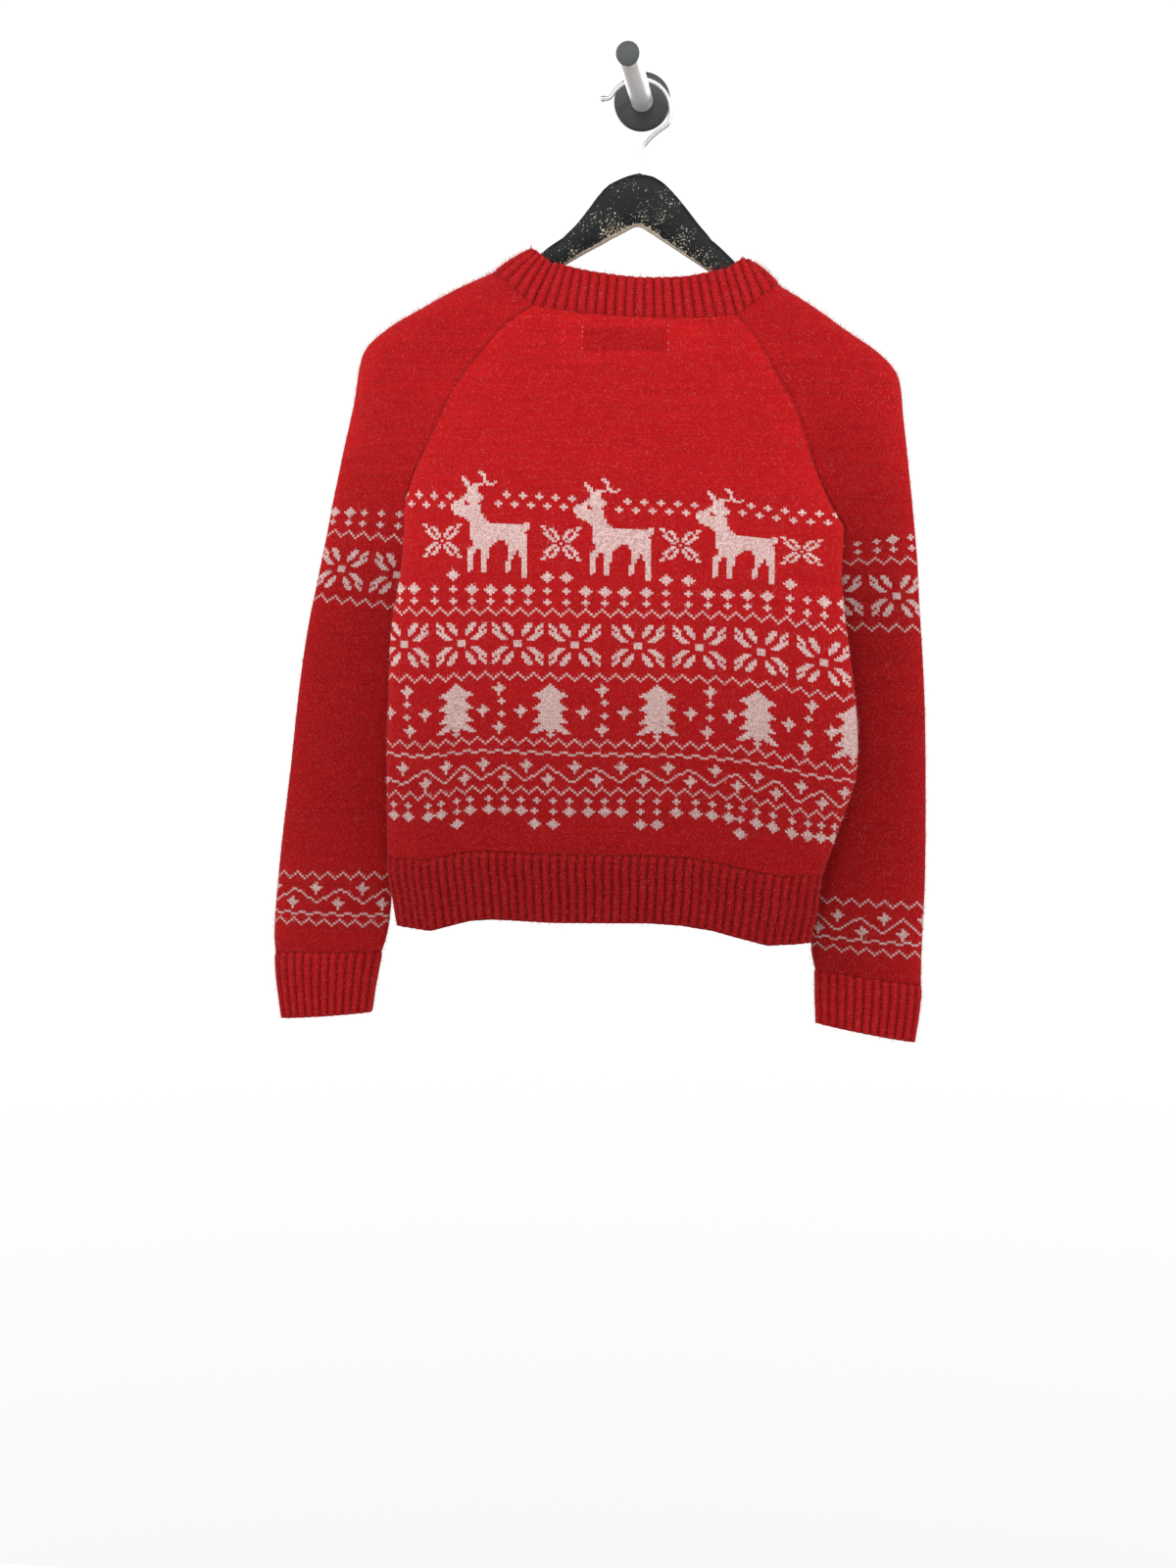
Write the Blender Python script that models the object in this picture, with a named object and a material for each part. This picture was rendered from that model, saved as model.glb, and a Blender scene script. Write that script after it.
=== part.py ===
"""Back-to-front knitted raglan jumper hanging from a wooden hanger on a round wall peg.

Millimetres in the tables, metres in the meshes. The wall is the plane y = 0, the room is on the
-Y side and +Z is up. The origin is the middle of the peg's wall plate.
"""

import math

import bpy
import numpy as np

MM = 0.001

# Cloth, in millimetres
CLOTH_THICK = 2.2
RIB_THICK = 2.4
LABEL_THICK = 1.0
SEAM_HALF_GAP = 0.22
BAND_HALF_GAP = 0.3
HEM_RIB_RAISE = 1.3
CUFF_RIB_RAISE = 1.2
BAND_RIB_RAISE = 1.2

# How finely the pieces are divided
PANEL_COLUMNS = 16
SLEEVE_COLUMNS = 16
YOKE_ROWS = 7
BODY_ROWS = 8
SLEEVE_ROWS = 10
HEM_RIBS = 51
CUFF_RIBS = 26
BAND_RIBS = 70

# Peg, hook and hanger, in millimetres
PLATE_RADIUS = 24.5
PLATE_DEPTH = 6.0
TUBE_RADIUS = 9.4
TUBE_END = 125.0
CAP_END = 128.0
METAL_GAP = 0.3
WIRE_RADIUS = 1.8
HOOK_RADIUS = 27.5
HANGER_PLANE = -28.0
BOARD_HALF_DEPTH = 6.0

# Level 0 is the hem edge, 1 the top of the hem rib, 2 the underarm and 3 the neck seam.
# level, left x, left z, right x, right z, share of the hem's wave, depth of the back
BODY = np.array([
    (0.00, -215.0, -720.0, 152.0, -727.0, 1.00, 21.0),
    (0.50, -220.0, -690.0, 158.0, -697.0, 0.95, 21.0),
    (1.00, -224.0, -657.0, 163.0, -667.0, 0.90, 22.0),
    (1.15, -224.5, -610.0, 180.0, -616.0, 0.75, 23.0),
    (1.30, -224.0, -565.0, 191.0, -576.0, 0.60, 24.0),
    (1.46, -222.0, -515.0, 189.5, -522.0, 0.45, 24.0),
    (1.61, -220.0, -470.0, 184.0, -480.0, 0.30, 23.0),
    (1.73, -216.0, -436.0, 179.0, -444.0, 0.10, 23.0),
    (1.84, -209.0, -400.0, 176.0, -412.0, 0.00, 22.0),
    (2.00, -205.0, -342.0, 177.0, -368.0, 0.40, 22.0),
])

# Share of the width from the left edge, rise of the hem above a straight line
HEM_WAVE = np.array([
    (0.00, 0.0), (0.09, -1.4), (0.14, 4.0), (0.19, 9.3), (0.24, 11.4), (0.31, 11.0),
    (0.40, 11.0), (0.62, 14.0), (0.70, 13.0), (0.77, 9.0), (0.83, 3.8), (0.90, -1.7),
    (0.96, -1.2), (1.00, 0.0),
])

# Long soft folds down the back: share of the width, half width, lift at the hem, level it dies at
BACK_FOLDS = (
    (0.10, 0.06, 3.0, 1.9),
    (0.30, 0.07, -2.0, 1.7),
    (0.78, 0.06, -2.5, 1.9),
    (0.90, 0.05, 3.0, 2.0),
)

# Raglan seams and shoulder line: level, left x y z, right x y z
BACK_RAGLAN = np.array([
    (2.00, -205.0, -37.0, -342.0, 177.0, -37.0, -368.0),
    (2.15, -194.5, -43.0, -316.0, 164.0, -43.0, -346.0),
    (2.30, -184.0, -45.5, -296.0, 152.5, -45.5, -320.0),
    (2.45, -173.0, -46.5, -272.0, 143.5, -46.5, -291.0),
    (2.60, -157.0, -47.0, -243.0, 134.0, -47.0, -265.0),
    (2.75, -138.0, -47.0, -219.0, 120.0, -47.0, -241.0),
    (2.88, -114.0, -46.5, -193.5, 103.0, -46.5, -211.0),
    (3.00, -90.0, -46.0, -178.0, 86.0, -46.0, -190.5),
])
FRONT_RAGLAN = np.array([
    (2.00, -205.0, -37.0, -342.0, 177.0, -37.0, -368.0),
    (2.15, -193.0, -26.0, -319.0, 165.0, -26.0, -346.0),
    (2.30, -180.0, -18.5, -300.0, 153.0, -18.5, -324.0),
    (2.45, -168.0, -14.5, -281.0, 142.0, -14.5, -301.0),
    (2.60, -153.0, -13.0, -262.0, 131.0, -13.0, -279.0),
    (2.75, -134.0, -12.5, -243.0, 117.0, -12.5, -258.0),
    (2.88, -112.0, -12.0, -227.0, 101.0, -12.0, -239.0),
    (3.00, -88.0, -11.5, -214.0, 84.0, -11.5, -224.0),
])
SHOULDER = np.array([
    (2.00, -277.0, -17.0, -344.0, 236.0, -17.0, -352.0),
    (2.15, -267.0, -18.0, -303.0, 231.0, -18.0, -312.0),
    (2.30, -255.0, -21.0, -257.0, 226.0, -21.0, -276.0),
    (2.45, -245.0, -25.0, -213.0, 221.0, -25.0, -243.0),
    (2.60, -222.0, -27.5, -192.5, 205.0, -27.5, -222.5),
    (2.75, -190.0, -28.0, -176.0, 176.0, -28.0, -201.5),
    (2.88, -157.0, -28.0, -159.5, 147.0, -28.0, -181.0),
    (3.00, -126.0, -28.0, -146.5, 119.0, -28.0, -163.0),
])

# Sleeves below the underarm. Level 0 is the cuff's edge and 1 its top.
# level, inner x y z, outer x y z, swell toward the room, swell toward the wall
LEFT_SLEEVE = np.array([
    (0.00, -247.0, -17.0, -805.0, -331.0, -17.0, -813.0, 9.0, 9.0),
    (0.50, -242.0, -17.0, -776.0, -334.5, -17.0, -785.0, 10.5, 10.5),
    (1.00, -236.0, -17.0, -748.0, -336.5, -17.0, -750.0, 12.0, 12.0),
    (1.10, -229.0, -17.0, -720.0, -335.5, -17.0, -718.0, 13.0, 13.0),
    (1.28, -220.0, -17.0, -640.0, -328.5, -17.0, -643.0, 12.0, 12.0),
    (1.45, -212.0, -17.0, -570.0, -319.0, -17.0, -573.0, 11.0, 11.0),
    (1.60, -205.0, -18.0, -505.0, -309.0, -17.0, -503.0, 10.5, 10.5),
    (1.72, -200.0, -19.0, -455.0, -300.5, -17.0, -452.0, 10.0, 10.0),
    (1.84, -199.0, -22.0, -410.0, -291.0, -17.0, -408.0, 8.5, 11.5),
    (1.93, -202.0, -28.0, -372.0, -283.0, -17.0, -372.0, 6.0, 14.0),
    (2.00, -206.0, -35.0, -343.0, -277.0, -17.0, -344.0, 4.0, 16.0),
])
RIGHT_SLEEVE = np.array([
    (0.00, 159.0, -17.0, -803.0, 245.0, -17.0, -818.0, 9.0, 9.0),
    (0.50, 158.0, -17.0, -779.0, 248.5, -17.0, -790.0, 10.5, 10.5),
    (1.00, 157.0, -17.0, -754.0, 250.0, -17.0, -766.0, 12.0, 12.0),
    (1.10, 154.0, -17.0, -728.0, 250.5, -17.0, -735.0, 13.0, 13.0),
    (1.28, 160.0, -17.0, -672.0, 252.0, -17.0, -676.0, 12.0, 12.0),
    (1.45, 168.0, -17.0, -600.0, 251.5, -17.0, -602.0, 11.0, 11.0),
    (1.60, 171.0, -18.0, -530.0, 250.0, -17.0, -532.0, 10.5, 10.5),
    (1.72, 172.0, -19.0, -480.0, 247.0, -17.0, -482.0, 10.0, 10.0),
    (1.84, 170.0, -22.0, -433.0, 243.0, -17.0, -435.0, 8.5, 11.5),
    (1.93, 172.0, -28.0, -398.0, 240.5, -17.0, -396.0, 6.0, 14.0),
    (2.00, 178.0, -35.0, -369.0, 236.0, -17.0, -352.0, 4.0, 16.0),
])

# Neckband: x on the seam, shift and rise of its top edge from the seam
BAND_LEAN = np.array([
    (-126.0, 33.0, 18.5), (-114.0, 27.0, 25.0), (-101.0, 19.0, 32.0), (-84.0, 14.0, 37.0),
    (-52.0, 4.0, 36.5), (0.0, 0.0, 34.5), (45.0, -5.0, 35.5), (84.0, -11.0, 39.5),
    (102.0, -13.0, 35.0), (112.0, -17.0, 25.0), (119.0, -20.0, 17.0),
])

# Hanger board: x, top z, lower z
BOARD = np.array([
    (-229.0, -209.0, -213.5), (-227.0, -207.0, -217.5), (-222.0, -204.5, -219.5),
    (-200.0, -192.5, -211.0), (-165.0, -174.5, -195.5), (-126.0, -153.5, -175.5),
    (-84.0, -130.0, -153.0), (-66.0, -119.0, -142.5), (-55.0, -109.0, -136.6),
    (-45.0, -97.5, -131.6), (-33.0, -81.5, -125.7), (-25.0, -75.0, -121.7),
    (-12.0, -69.5, -115.3), (-1.3, -67.0, -110.0), (12.0, -70.0, -118.8), (21.0, -75.5, -124.8),
    (31.0, -85.7, -131.4), (41.5, -98.6, -138.4), (51.7, -112.0, -145.1), (62.0, -123.5, -152.0),
    (84.0, -144.7, -170.0), (119.0, -171.5, -196.0), (155.0, -197.5, -219.5),
    (188.0, -221.0, -241.0), (201.0, -231.0, -246.5), (206.0, -235.5, -246.5),
    (208.0, -239.0, -243.5),
])

# Hook wire in the hanger's plane, from the crown of the board to the tip: x, z
HOOK_STEM = [(0.0, -66.7), (0.3, -60.0), (0.8, -52.0), (3.2, -44.5), (9.5, -37.6), (16.5, -32.2)]
HOOK_TIP = [(-27.3, -4.2), (-30.5, -3.6), (-33.4, -5.0)]
HOOK_CENTRE = (-0.6, 11.5 - HOOK_RADIUS)
HOOK_FROM = -24.0
HOOK_TO = 152.0
HOOK_STEPS = 24

# Neck label inside the back: left, right, top, bottom
LABEL_BOX = (-45.0, 26.0, -199.0, -219.0)
LABEL_GAP = 0.7

for old in list(bpy.data.objects):
    bpy.data.objects.remove(old, do_unlink=True)


def row_at(table, level):
    """Every column of a table at a level, with a smooth curve through its rows."""
    keys = table[:, 0]
    k = int(np.clip(np.searchsorted(keys, level, side="right") - 1, 0, len(keys) - 2))
    width = keys[k + 1] - keys[k]
    t = (level - keys[k]) / width
    low, high = table[k, 1:], table[k + 1, 1:]
    before = table[max(k - 1, 0)]
    after = table[min(k + 2, len(keys) - 1)]
    slope_low = (high - before[1:]) / (keys[k + 1] - before[0]) * width
    slope_high = (after[1:] - low) / (after[0] - keys[k]) * width
    cubic = (
        (2 * t**3 - 3 * t**2 + 1) * low
        + (t**3 - 2 * t**2 + t) * slope_low
        + (3 * t**2 - 2 * t**3) * high
        + (t**3 - t**2) * slope_high
    )
    return cubic


def ease(t):
    t = min(max(t, 0.0), 1.0)
    return t * t * (3 - 2 * t)


def oval(u, power):
    return max(0.0, 1.0 - abs(u) ** power) ** (1.0 / power)


def fold_lift(level, share):
    """How far the soft folds push the back toward the room."""
    lift = 0.0
    for middle, half, height, dies in BACK_FOLDS:
        near = max(0.0, 1.0 - ((share - middle) / half) ** 2)
        lift += height * near**2 * ease((dies - level) / dies)
    return lift


def back_point(level, share):
    """A point of the back's outer surface, share 0 at the left edge and 1 at the right."""
    u = 2 * share - 1
    wave = np.interp(share, HEM_WAVE[:, 0], HEM_WAVE[:, 1])
    if level <= 2:
        lx, lz, rx, rz, sag, depth = row_at(BODY, level)
        y = -38.0 - depth * oval(u, 2.5) - fold_lift(level, share)
        return (lx + (rx - lx) * share, y, lz + (rz - lz) * share + sag * wave)
    lx, ly, lz, rx, ry, rz = row_at(BACK_RAGLAN, level)
    up = level - 2
    sag = 0.4 * (1 - up) ** 2 * wave - 6.5 * up * 4 * share * (1 - share)
    middle = np.interp(up, [0, 0.15, 0.3, 0.5, 0.75, 1], [22, 17.5, 13, 9, 5, 2.5])
    flat = ease(up / 0.5)
    swell = (1 - flat) * oval(u, 2.5) + flat * (1 - u * u)
    y = ly + (ry - ly) * share - middle * swell
    return (lx + (rx - lx) * share, y, lz + (rz - lz) * share + sag)


def front_point(level, share):
    """A point of the front's outer surface, which faces the wall."""
    u = 2 * share - 1
    wave = np.interp(share, HEM_WAVE[:, 0], HEM_WAVE[:, 1])
    if level <= 2:
        lx, lz, rx, rz, sag, depth = row_at(BODY, level)
        y = -38.0 + 5.0 * math.sqrt(max(0.0, 1 - abs(u) ** 8)) + 25.0 * (1 - u * u) ** 1.5
        return (lx + (rx - lx) * share, y, lz + (rz - lz) * share + sag * wave)
    lx, ly, lz, rx, ry, rz = row_at(FRONT_RAGLAN, level)
    up = level - 2
    dip = 4 * share * (1 - share)
    sag = 0.4 * (1 - up) ** 2 * wave - 38.0 * up**1.6 * dip**1.25
    edge = ly + (ry - ly) * share
    flat = ease(up / 0.4)
    swell = (1 - flat) * (1 - u * u) ** 0.9 + flat * (1 - u * u)
    y = edge + (-8.0 - edge) * swell
    return (lx + (rx - lx) * share, y, lz + (rz - lz) * share + sag)


def half_ring(inner, outer, swell, turned, share):
    """Inner edge to outer edge of a sleeve. Turned 0 is a flat tube and 1 a shoulder's rounding."""
    inner, outer = np.array(inner), np.array(outer)
    along = (1 - math.cos(math.pi * share)) / 2
    tube = inner + (outer - inner) * along
    tube[1] += swell * math.sin(math.pi * share) ** 0.8
    across = math.sin(math.pi * share / 2) ** 0.87
    over = 1 - math.cos(math.pi * share / 2) ** 0.87
    rounded = inner + (outer - inner) * np.array([across, over, across])
    return (1 - turned) * tube + turned * rounded


def sleeve_point(side, level, share):
    """Share 0 is the back seam or the inner edge, 0.5 the outer edge, 1 the front seam."""
    columns = slice(0, 3) if side == "left" else slice(3, 6)
    if level <= 2:
        row = row_at(LEFT_SLEEVE if side == "left" else RIGHT_SLEEVE, level)
        back_edge = front_edge = row[0:3]
        outer, room, wall, turned = row[3:6], row[6], row[7], 0.0
    else:
        up = level - 2
        first = (LEFT_SLEEVE if side == "left" else RIGHT_SLEEVE)[-1, 1:4]
        near = ease(up / 0.12)
        back_edge = row_at(BACK_RAGLAN, level)[columns]
        front_edge = row_at(FRONT_RAGLAN, level)[columns]
        apart = first - BACK_RAGLAN[0, 1:][columns]
        back_edge = back_edge + apart * (1 - near)
        front_edge = front_edge + apart * (1 - near)
        outer = row_at(SHOULDER, level)[columns]
        room, wall, turned = 4.0 * (1 - up), 16.0 * (1 - up), ease(up / 0.5)
    if share <= 0.5:
        return half_ring(back_edge, outer, -room, turned, share * 2)
    return half_ring(front_edge, outer, wall, turned, 2 - share * 2)


def grid_of(point, levels, shares):
    return np.array([[point(level, share) for share in shares] for level in levels])


def normals_of(grid, closed_rows):
    """Unit normals of a grid, whose rows go up and whose columns go round to the left."""
    along = np.empty_like(grid)
    for k, row in enumerate(grid):
        if closed_rows[k]:
            ahead = np.vstack([row[1:], row[1:2]])
            behind = np.vstack([row[-2:-1], row[:-1]])
            along[k] = ahead - behind
        else:
            along[k] = np.gradient(row, axis=0)
    up = np.gradient(grid, axis=0)
    normal = np.cross(along, up)
    return normal / np.linalg.norm(normal, axis=2, keepdims=True)


def share_seam(first, first_at, second, second_at):
    """Gives two pieces one normal along a seam, so that their cut edges stay parallel."""
    mean = first[first_at] + second[second_at]
    mean /= np.linalg.norm(mean, axis=-1, keepdims=True)
    first[first_at] = mean
    second[second_at] = mean


def toward(grid, at, neighbour, distance):
    """Moves an edge of a grid toward its neighbours, which leaves the seam's gap."""
    step = grid[neighbour] - grid[at]
    grid[at] = grid[at] + step / np.linalg.norm(step, axis=-1, keepdims=True) * distance


def material(name, colour, roughness, metallic=0.0):
    made = bpy.data.materials.new(name)
    made.use_nodes = True
    shader = made.node_tree.nodes["Principled BSDF"]
    shader.inputs["Base Color"].default_value = (*colour, 1.0)
    shader.inputs["Roughness"].default_value = roughness
    shader.inputs["Metallic"].default_value = metallic
    return made


def add_mesh(name, points, faces, surface, smooth=False):
    mesh = bpy.data.meshes.new(name)
    mesh.from_pydata([tuple(p * MM) for p in points], [], faces)
    mesh.validate()
    mesh.polygons.foreach_set("use_smooth", [smooth] * len(mesh.polygons))
    made = bpy.data.objects.new(name, mesh)
    bpy.context.scene.collection.objects.link(made)
    made.data.materials.append(surface)
    return made


def wall(name, outside, normal, thick, raise_by, welded, surface):
    """A closed wall: the outside grid, the same grid sunk by the thickness, and its cut edges.

    welded[k] is true for a row whose last column is its first one.
    """
    rows, columns = outside.shape[:2]
    raised = outside + normal * raise_by[None, :, None]
    sunk = outside - normal * thick
    points = []
    index = np.zeros((2, rows, columns), int)
    for layer, grid in enumerate((raised, sunk)):
        for k in range(rows):
            for c in range(columns):
                if welded[k] and c == columns - 1:
                    index[layer, k, c] = index[layer, k, 0]
                else:
                    index[layer, k, c] = len(points)
                    points.append(grid[k, c])
    faces = []
    out, inn = index
    for k in range(rows - 1):
        for c in range(columns - 1):
            faces.append((out[k, c], out[k, c + 1], out[k + 1, c + 1], out[k + 1, c]))
            faces.append((inn[k, c], inn[k + 1, c], inn[k + 1, c + 1], inn[k, c + 1]))
    for c in range(columns - 1):
        faces.append((out[0, c], inn[0, c], inn[0, c + 1], out[0, c + 1]))
        faces.append((out[-1, c], out[-1, c + 1], inn[-1, c + 1], inn[-1, c]))
    for k in range(rows - 1):
        if welded[k] and welded[k + 1]:
            continue
        faces.append((out[k, 0], out[k + 1, 0], inn[k + 1, 0], inn[k, 0]))
        faces.append((out[k, -1], inn[k, -1], inn[k + 1, -1], out[k + 1, -1]))
    faces = [tuple(int(i) for i in face) for face in faces]
    return add_mesh(name, points, faces, surface)


def spread(grid, places):
    """The columns of a grid at fractional places between its own columns."""
    at = np.arange(grid.shape[1])
    spread_to = np.empty((grid.shape[0], len(places), 3))
    for k in range(grid.shape[0]):
        for axis in range(3):
            spread_to[k, :, axis] = np.interp(places, at, grid[k, :, axis])
    return spread_to


def even_places(row, count):
    """Fractional column places that divide a row into equal lengths."""
    length = np.concatenate([[0], np.cumsum(np.linalg.norm(np.diff(row, axis=0), axis=1))])
    return np.interp(np.linspace(0, length[-1], count), length, np.arange(len(row)))


def unit(vectors):
    return vectors / np.linalg.norm(vectors, axis=-1, keepdims=True)


def ribs(count, height):
    """A raised column after every sunk one."""
    return np.where(np.arange(2 * count + 1) % 2 == 1, height, 0.0)


def loft(name, sections, surface, smooth=False):
    """A closed solid through equal sections, with both ends filled."""
    count, around = len(sections), len(sections[0])
    points = [p for section in sections for p in section]
    faces = []
    for k in range(count - 1):
        for c in range(around):
            d = (c + 1) % around
            faces.append((k * around + c, k * around + d, (k + 1) * around + d, (k + 1) * around + c))
    faces.append(tuple(reversed(range(around))))
    faces.append(tuple((count - 1) * around + c for c in range(around)))
    return add_mesh(name, points, faces, surface, smooth)


knit = material("red_knit", (0.45, 0.012, 0.016), 0.95)
rib_knit = material("red_rib", (0.36, 0.011, 0.014), 0.95)
label_cloth = material("label_cloth", (0.55, 0.03, 0.03), 0.8)
painted_wood = material("black_painted_wood", (0.045, 0.048, 0.05), 0.55)
chrome = material("chrome_wire", (0.75, 0.75, 0.76), 0.15, 1.0)
satin_steel = material("satin_steel", (0.55, 0.55, 0.56), 0.35, 1.0)
black_plate = material("black_metal", (0.03, 0.03, 0.032), 0.5)
black_cap = material("black_plastic", (0.06, 0.06, 0.062), 0.6)

# Back and front panels, from the top of the hem rib to the neck seam
shares = (1 - np.cos(np.linspace(0, math.pi, PANEL_COLUMNS + 1))) / 2
body_levels = np.linspace(1, 2, BODY_ROWS + 1)
yoke_levels = np.linspace(2, 3, YOKE_ROWS + 1)[1:]
panel_levels = np.concatenate([body_levels, yoke_levels])
back = grid_of(back_point, panel_levels, shares)
front = grid_of(front_point, panel_levels, shares)[:, ::-1]
open_rows = [False] * len(panel_levels)
back_normal = normals_of(back, open_rows)
front_normal = normals_of(front, open_rows)
below = slice(0, BODY_ROWS + 1)
share_seam(back_normal, (below, 0), front_normal, (below, -1))
share_seam(back_normal, (below, -1), front_normal, (below, 0))

# Hem rib, which carries the panels' columns on down
hem_levels = [0.0, 0.5, 1.0]
hem_back = grid_of(back_point, hem_levels, shares)
hem_front = grid_of(front_point, hem_levels, shares)[:, ::-1]
hem_back_normal = normals_of(hem_back, [False] * 3)
hem_front_normal = normals_of(hem_front, [False] * 3)
share_seam(hem_back_normal, (slice(None), 0), hem_front_normal, (slice(None), -1))
share_seam(hem_back_normal, (slice(None), -1), hem_front_normal, (slice(None), 0))
share_seam(back_normal, (0,), hem_back_normal, (-1,))
share_seam(front_normal, (0,), hem_front_normal, (-1,))

# Sleeves, tubes to the underarm and then arcs between the raglan seams
sleeve_levels = np.concatenate([np.linspace(1, 2, SLEEVE_ROWS + 1), yoke_levels])
around = np.linspace(0, 1, SLEEVE_COLUMNS + 1)
sleeve_closed = [level <= 2.0 + 1e-9 for level in sleeve_levels]
top = slice(-YOKE_ROWS, None)
sleeves, sleeve_normals, cuffs, cuff_normals = {}, {}, {}, {}
for side in ("left", "right"):
    order = slice(None, None, -1) if side == "left" else slice(None)
    sleeves[side] = grid_of(
        lambda level, share: sleeve_point(side, level, share), sleeve_levels, around
    )[:, order]
    cuffs[side] = grid_of(
        lambda level, share: sleeve_point(side, level, share), [0.0, 0.5, 1.0], around
    )[:, order]
    sleeve_normals[side] = normals_of(sleeves[side], sleeve_closed)
    cuff_normals[side] = normals_of(cuffs[side], [True] * 3)
    share_seam(sleeve_normals[side], (0,), cuff_normals[side], (-1,))
share_seam(back_normal, (top, 0), sleeve_normals["left"], (top, -1))
share_seam(back_normal, (top, -1), sleeve_normals["right"], (top, 0))
share_seam(front_normal, (top, 0), sleeve_normals["right"], (top, -1))
share_seam(front_normal, (top, -1), sleeve_normals["left"], (top, 0))

# Neck seam, round from the back's left corner over the right shoulder
neck = np.vstack([
    back[-1],
    sleeves["right"][-1][1:],
    front[-1][1:],
    sleeves["left"][-1][1:],
])
neck_normal = unit(np.vstack([
    back_normal[-1],
    sleeve_normals["right"][-1][1:],
    front_normal[-1][1:],
    sleeve_normals["left"][-1][1:],
]))
lean = np.column_stack([
    np.interp(neck[:, 0], BAND_LEAN[:, 0], BAND_LEAN[:, 1]),
    (HANGER_PLANE - neck[:, 1]) * np.where(neck[:, 1] < HANGER_PLANE, 0.42, 0.2),
    np.interp(neck[:, 0], BAND_LEAN[:, 0], BAND_LEAN[:, 2]),
])
neck_top = neck + lean
neck_middle = (neck + neck_top) / 2 + neck_normal * 1.6
band = np.array([neck, neck_middle, neck_top])
band_normal = normals_of(band, [True] * 3)
band_normal[0] = unit(band_normal[0] + neck_normal)

# The cut edges stand back from each seam
for grid in (back, front):
    toward(grid, (slice(None), 0), (slice(None), 1), SEAM_HALF_GAP)
    toward(grid, (slice(None), -1), (slice(None), -2), SEAM_HALF_GAP)
    toward(grid, (0,), (1,), SEAM_HALF_GAP)
    toward(grid, (-1,), (-2,), BAND_HALF_GAP)
for grid in (hem_back, hem_front):
    toward(grid, (slice(None), 0), (slice(None), 1), SEAM_HALF_GAP)
    toward(grid, (slice(None), -1), (slice(None), -2), SEAM_HALF_GAP)
    toward(grid, (-1,), (-2,), SEAM_HALF_GAP)
for side in ("left", "right"):
    toward(sleeves[side], (top, 0), (top, 1), SEAM_HALF_GAP)
    toward(sleeves[side], (top, -1), (top, -2), SEAM_HALF_GAP)
    toward(sleeves[side], (0,), (1,), SEAM_HALF_GAP)
    toward(sleeves[side], (-1,), (-2,), BAND_HALF_GAP)
    toward(cuffs[side], (-1,), (-2,), SEAM_HALF_GAP)
toward(band, (0,), (1,), BAND_HALF_GAP)

plain_panel = np.zeros(PANEL_COLUMNS + 1)
plain_sleeve = np.zeros(SLEEVE_COLUMNS + 1)
wall("back_panel", back, back_normal, CLOTH_THICK, plain_panel, open_rows, knit)
wall("front_panel", front, front_normal, CLOTH_THICK, plain_panel, open_rows, knit)
for side in ("left", "right"):
    wall(
        side + "_sleeve", sleeves[side], sleeve_normals[side], CLOTH_THICK,
        plain_sleeve, sleeve_closed, knit,
    )
    places = even_places(cuffs[side][1], 2 * CUFF_RIBS + 1)
    wall(
        side + "_cuff", spread(cuffs[side], places), unit(spread(cuff_normals[side], places)),
        RIB_THICK, ribs(CUFF_RIBS, CUFF_RIB_RAISE), [True] * 3, rib_knit,
    )
for name, grid, normal in (
    ("hem_rib_back", hem_back, hem_back_normal),
    ("hem_rib_front", hem_front, hem_front_normal),
):
    places = even_places(grid[1], 2 * HEM_RIBS + 1)
    wall(
        name, spread(grid, places), unit(spread(normal, places)), RIB_THICK,
        ribs(HEM_RIBS, HEM_RIB_RAISE), [False] * 3, rib_knit,
    )
places = even_places(band[1], 2 * BAND_RIBS + 1)
wall(
    "neckband", spread(band, places), unit(spread(band_normal, places)), RIB_THICK,
    ribs(BAND_RIBS, BAND_RIB_RAISE), [True] * 3, rib_knit,
)

# Neck label, the back's inside moved in
inside = back - back_normal * (CLOTH_THICK + LABEL_GAP)


def inside_point(x, z):
    """The y of the back's inside over a place, from its nearest four corners."""
    flat = inside.reshape(-1, 3)
    near = np.argsort((flat[:, 0] - x) ** 2 + (flat[:, 2] - z) ** 2)[:6]
    terms = np.column_stack([np.ones(6), flat[near, 0] - x, flat[near, 2] - z])
    solved = np.linalg.lstsq(terms, flat[near, 1], rcond=None)[0]
    return solved[0]


label_left, label_right, label_top, label_bottom = LABEL_BOX
label = np.array([
    [
        (x, inside_point(x, z), z)
        for x in np.linspace(label_left, label_right, 9)
    ]
    for z in np.linspace(label_bottom, label_top, 4)
])
label_normal = np.zeros_like(label)
label_normal[..., 1] = -1.0
wall(
    "neck_label", label, label_normal, LABEL_THICK, np.zeros(9), [False] * 4, label_cloth,
)

# Hanger board, upright sections from tip to tip
corner = [
    (-0.5, 1), (-1, 0.55), (-1, -0.55), (-0.5, -1), (0.5, -1), (1, -0.55), (1, 0.55), (0.5, 1)
]
sections = []
for x, upper, lower in BOARD:
    middle, half = (upper + lower) / 2, (upper - lower) / 2
    blunt = min(1.0, half / 6.0)
    sections.append([
        np.array([x, HANGER_PLANE + BOARD_HALF_DEPTH * blunt * y, middle + half * z])
        for y, z in corner
    ])
loft("hanger", sections, painted_wood)

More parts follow.
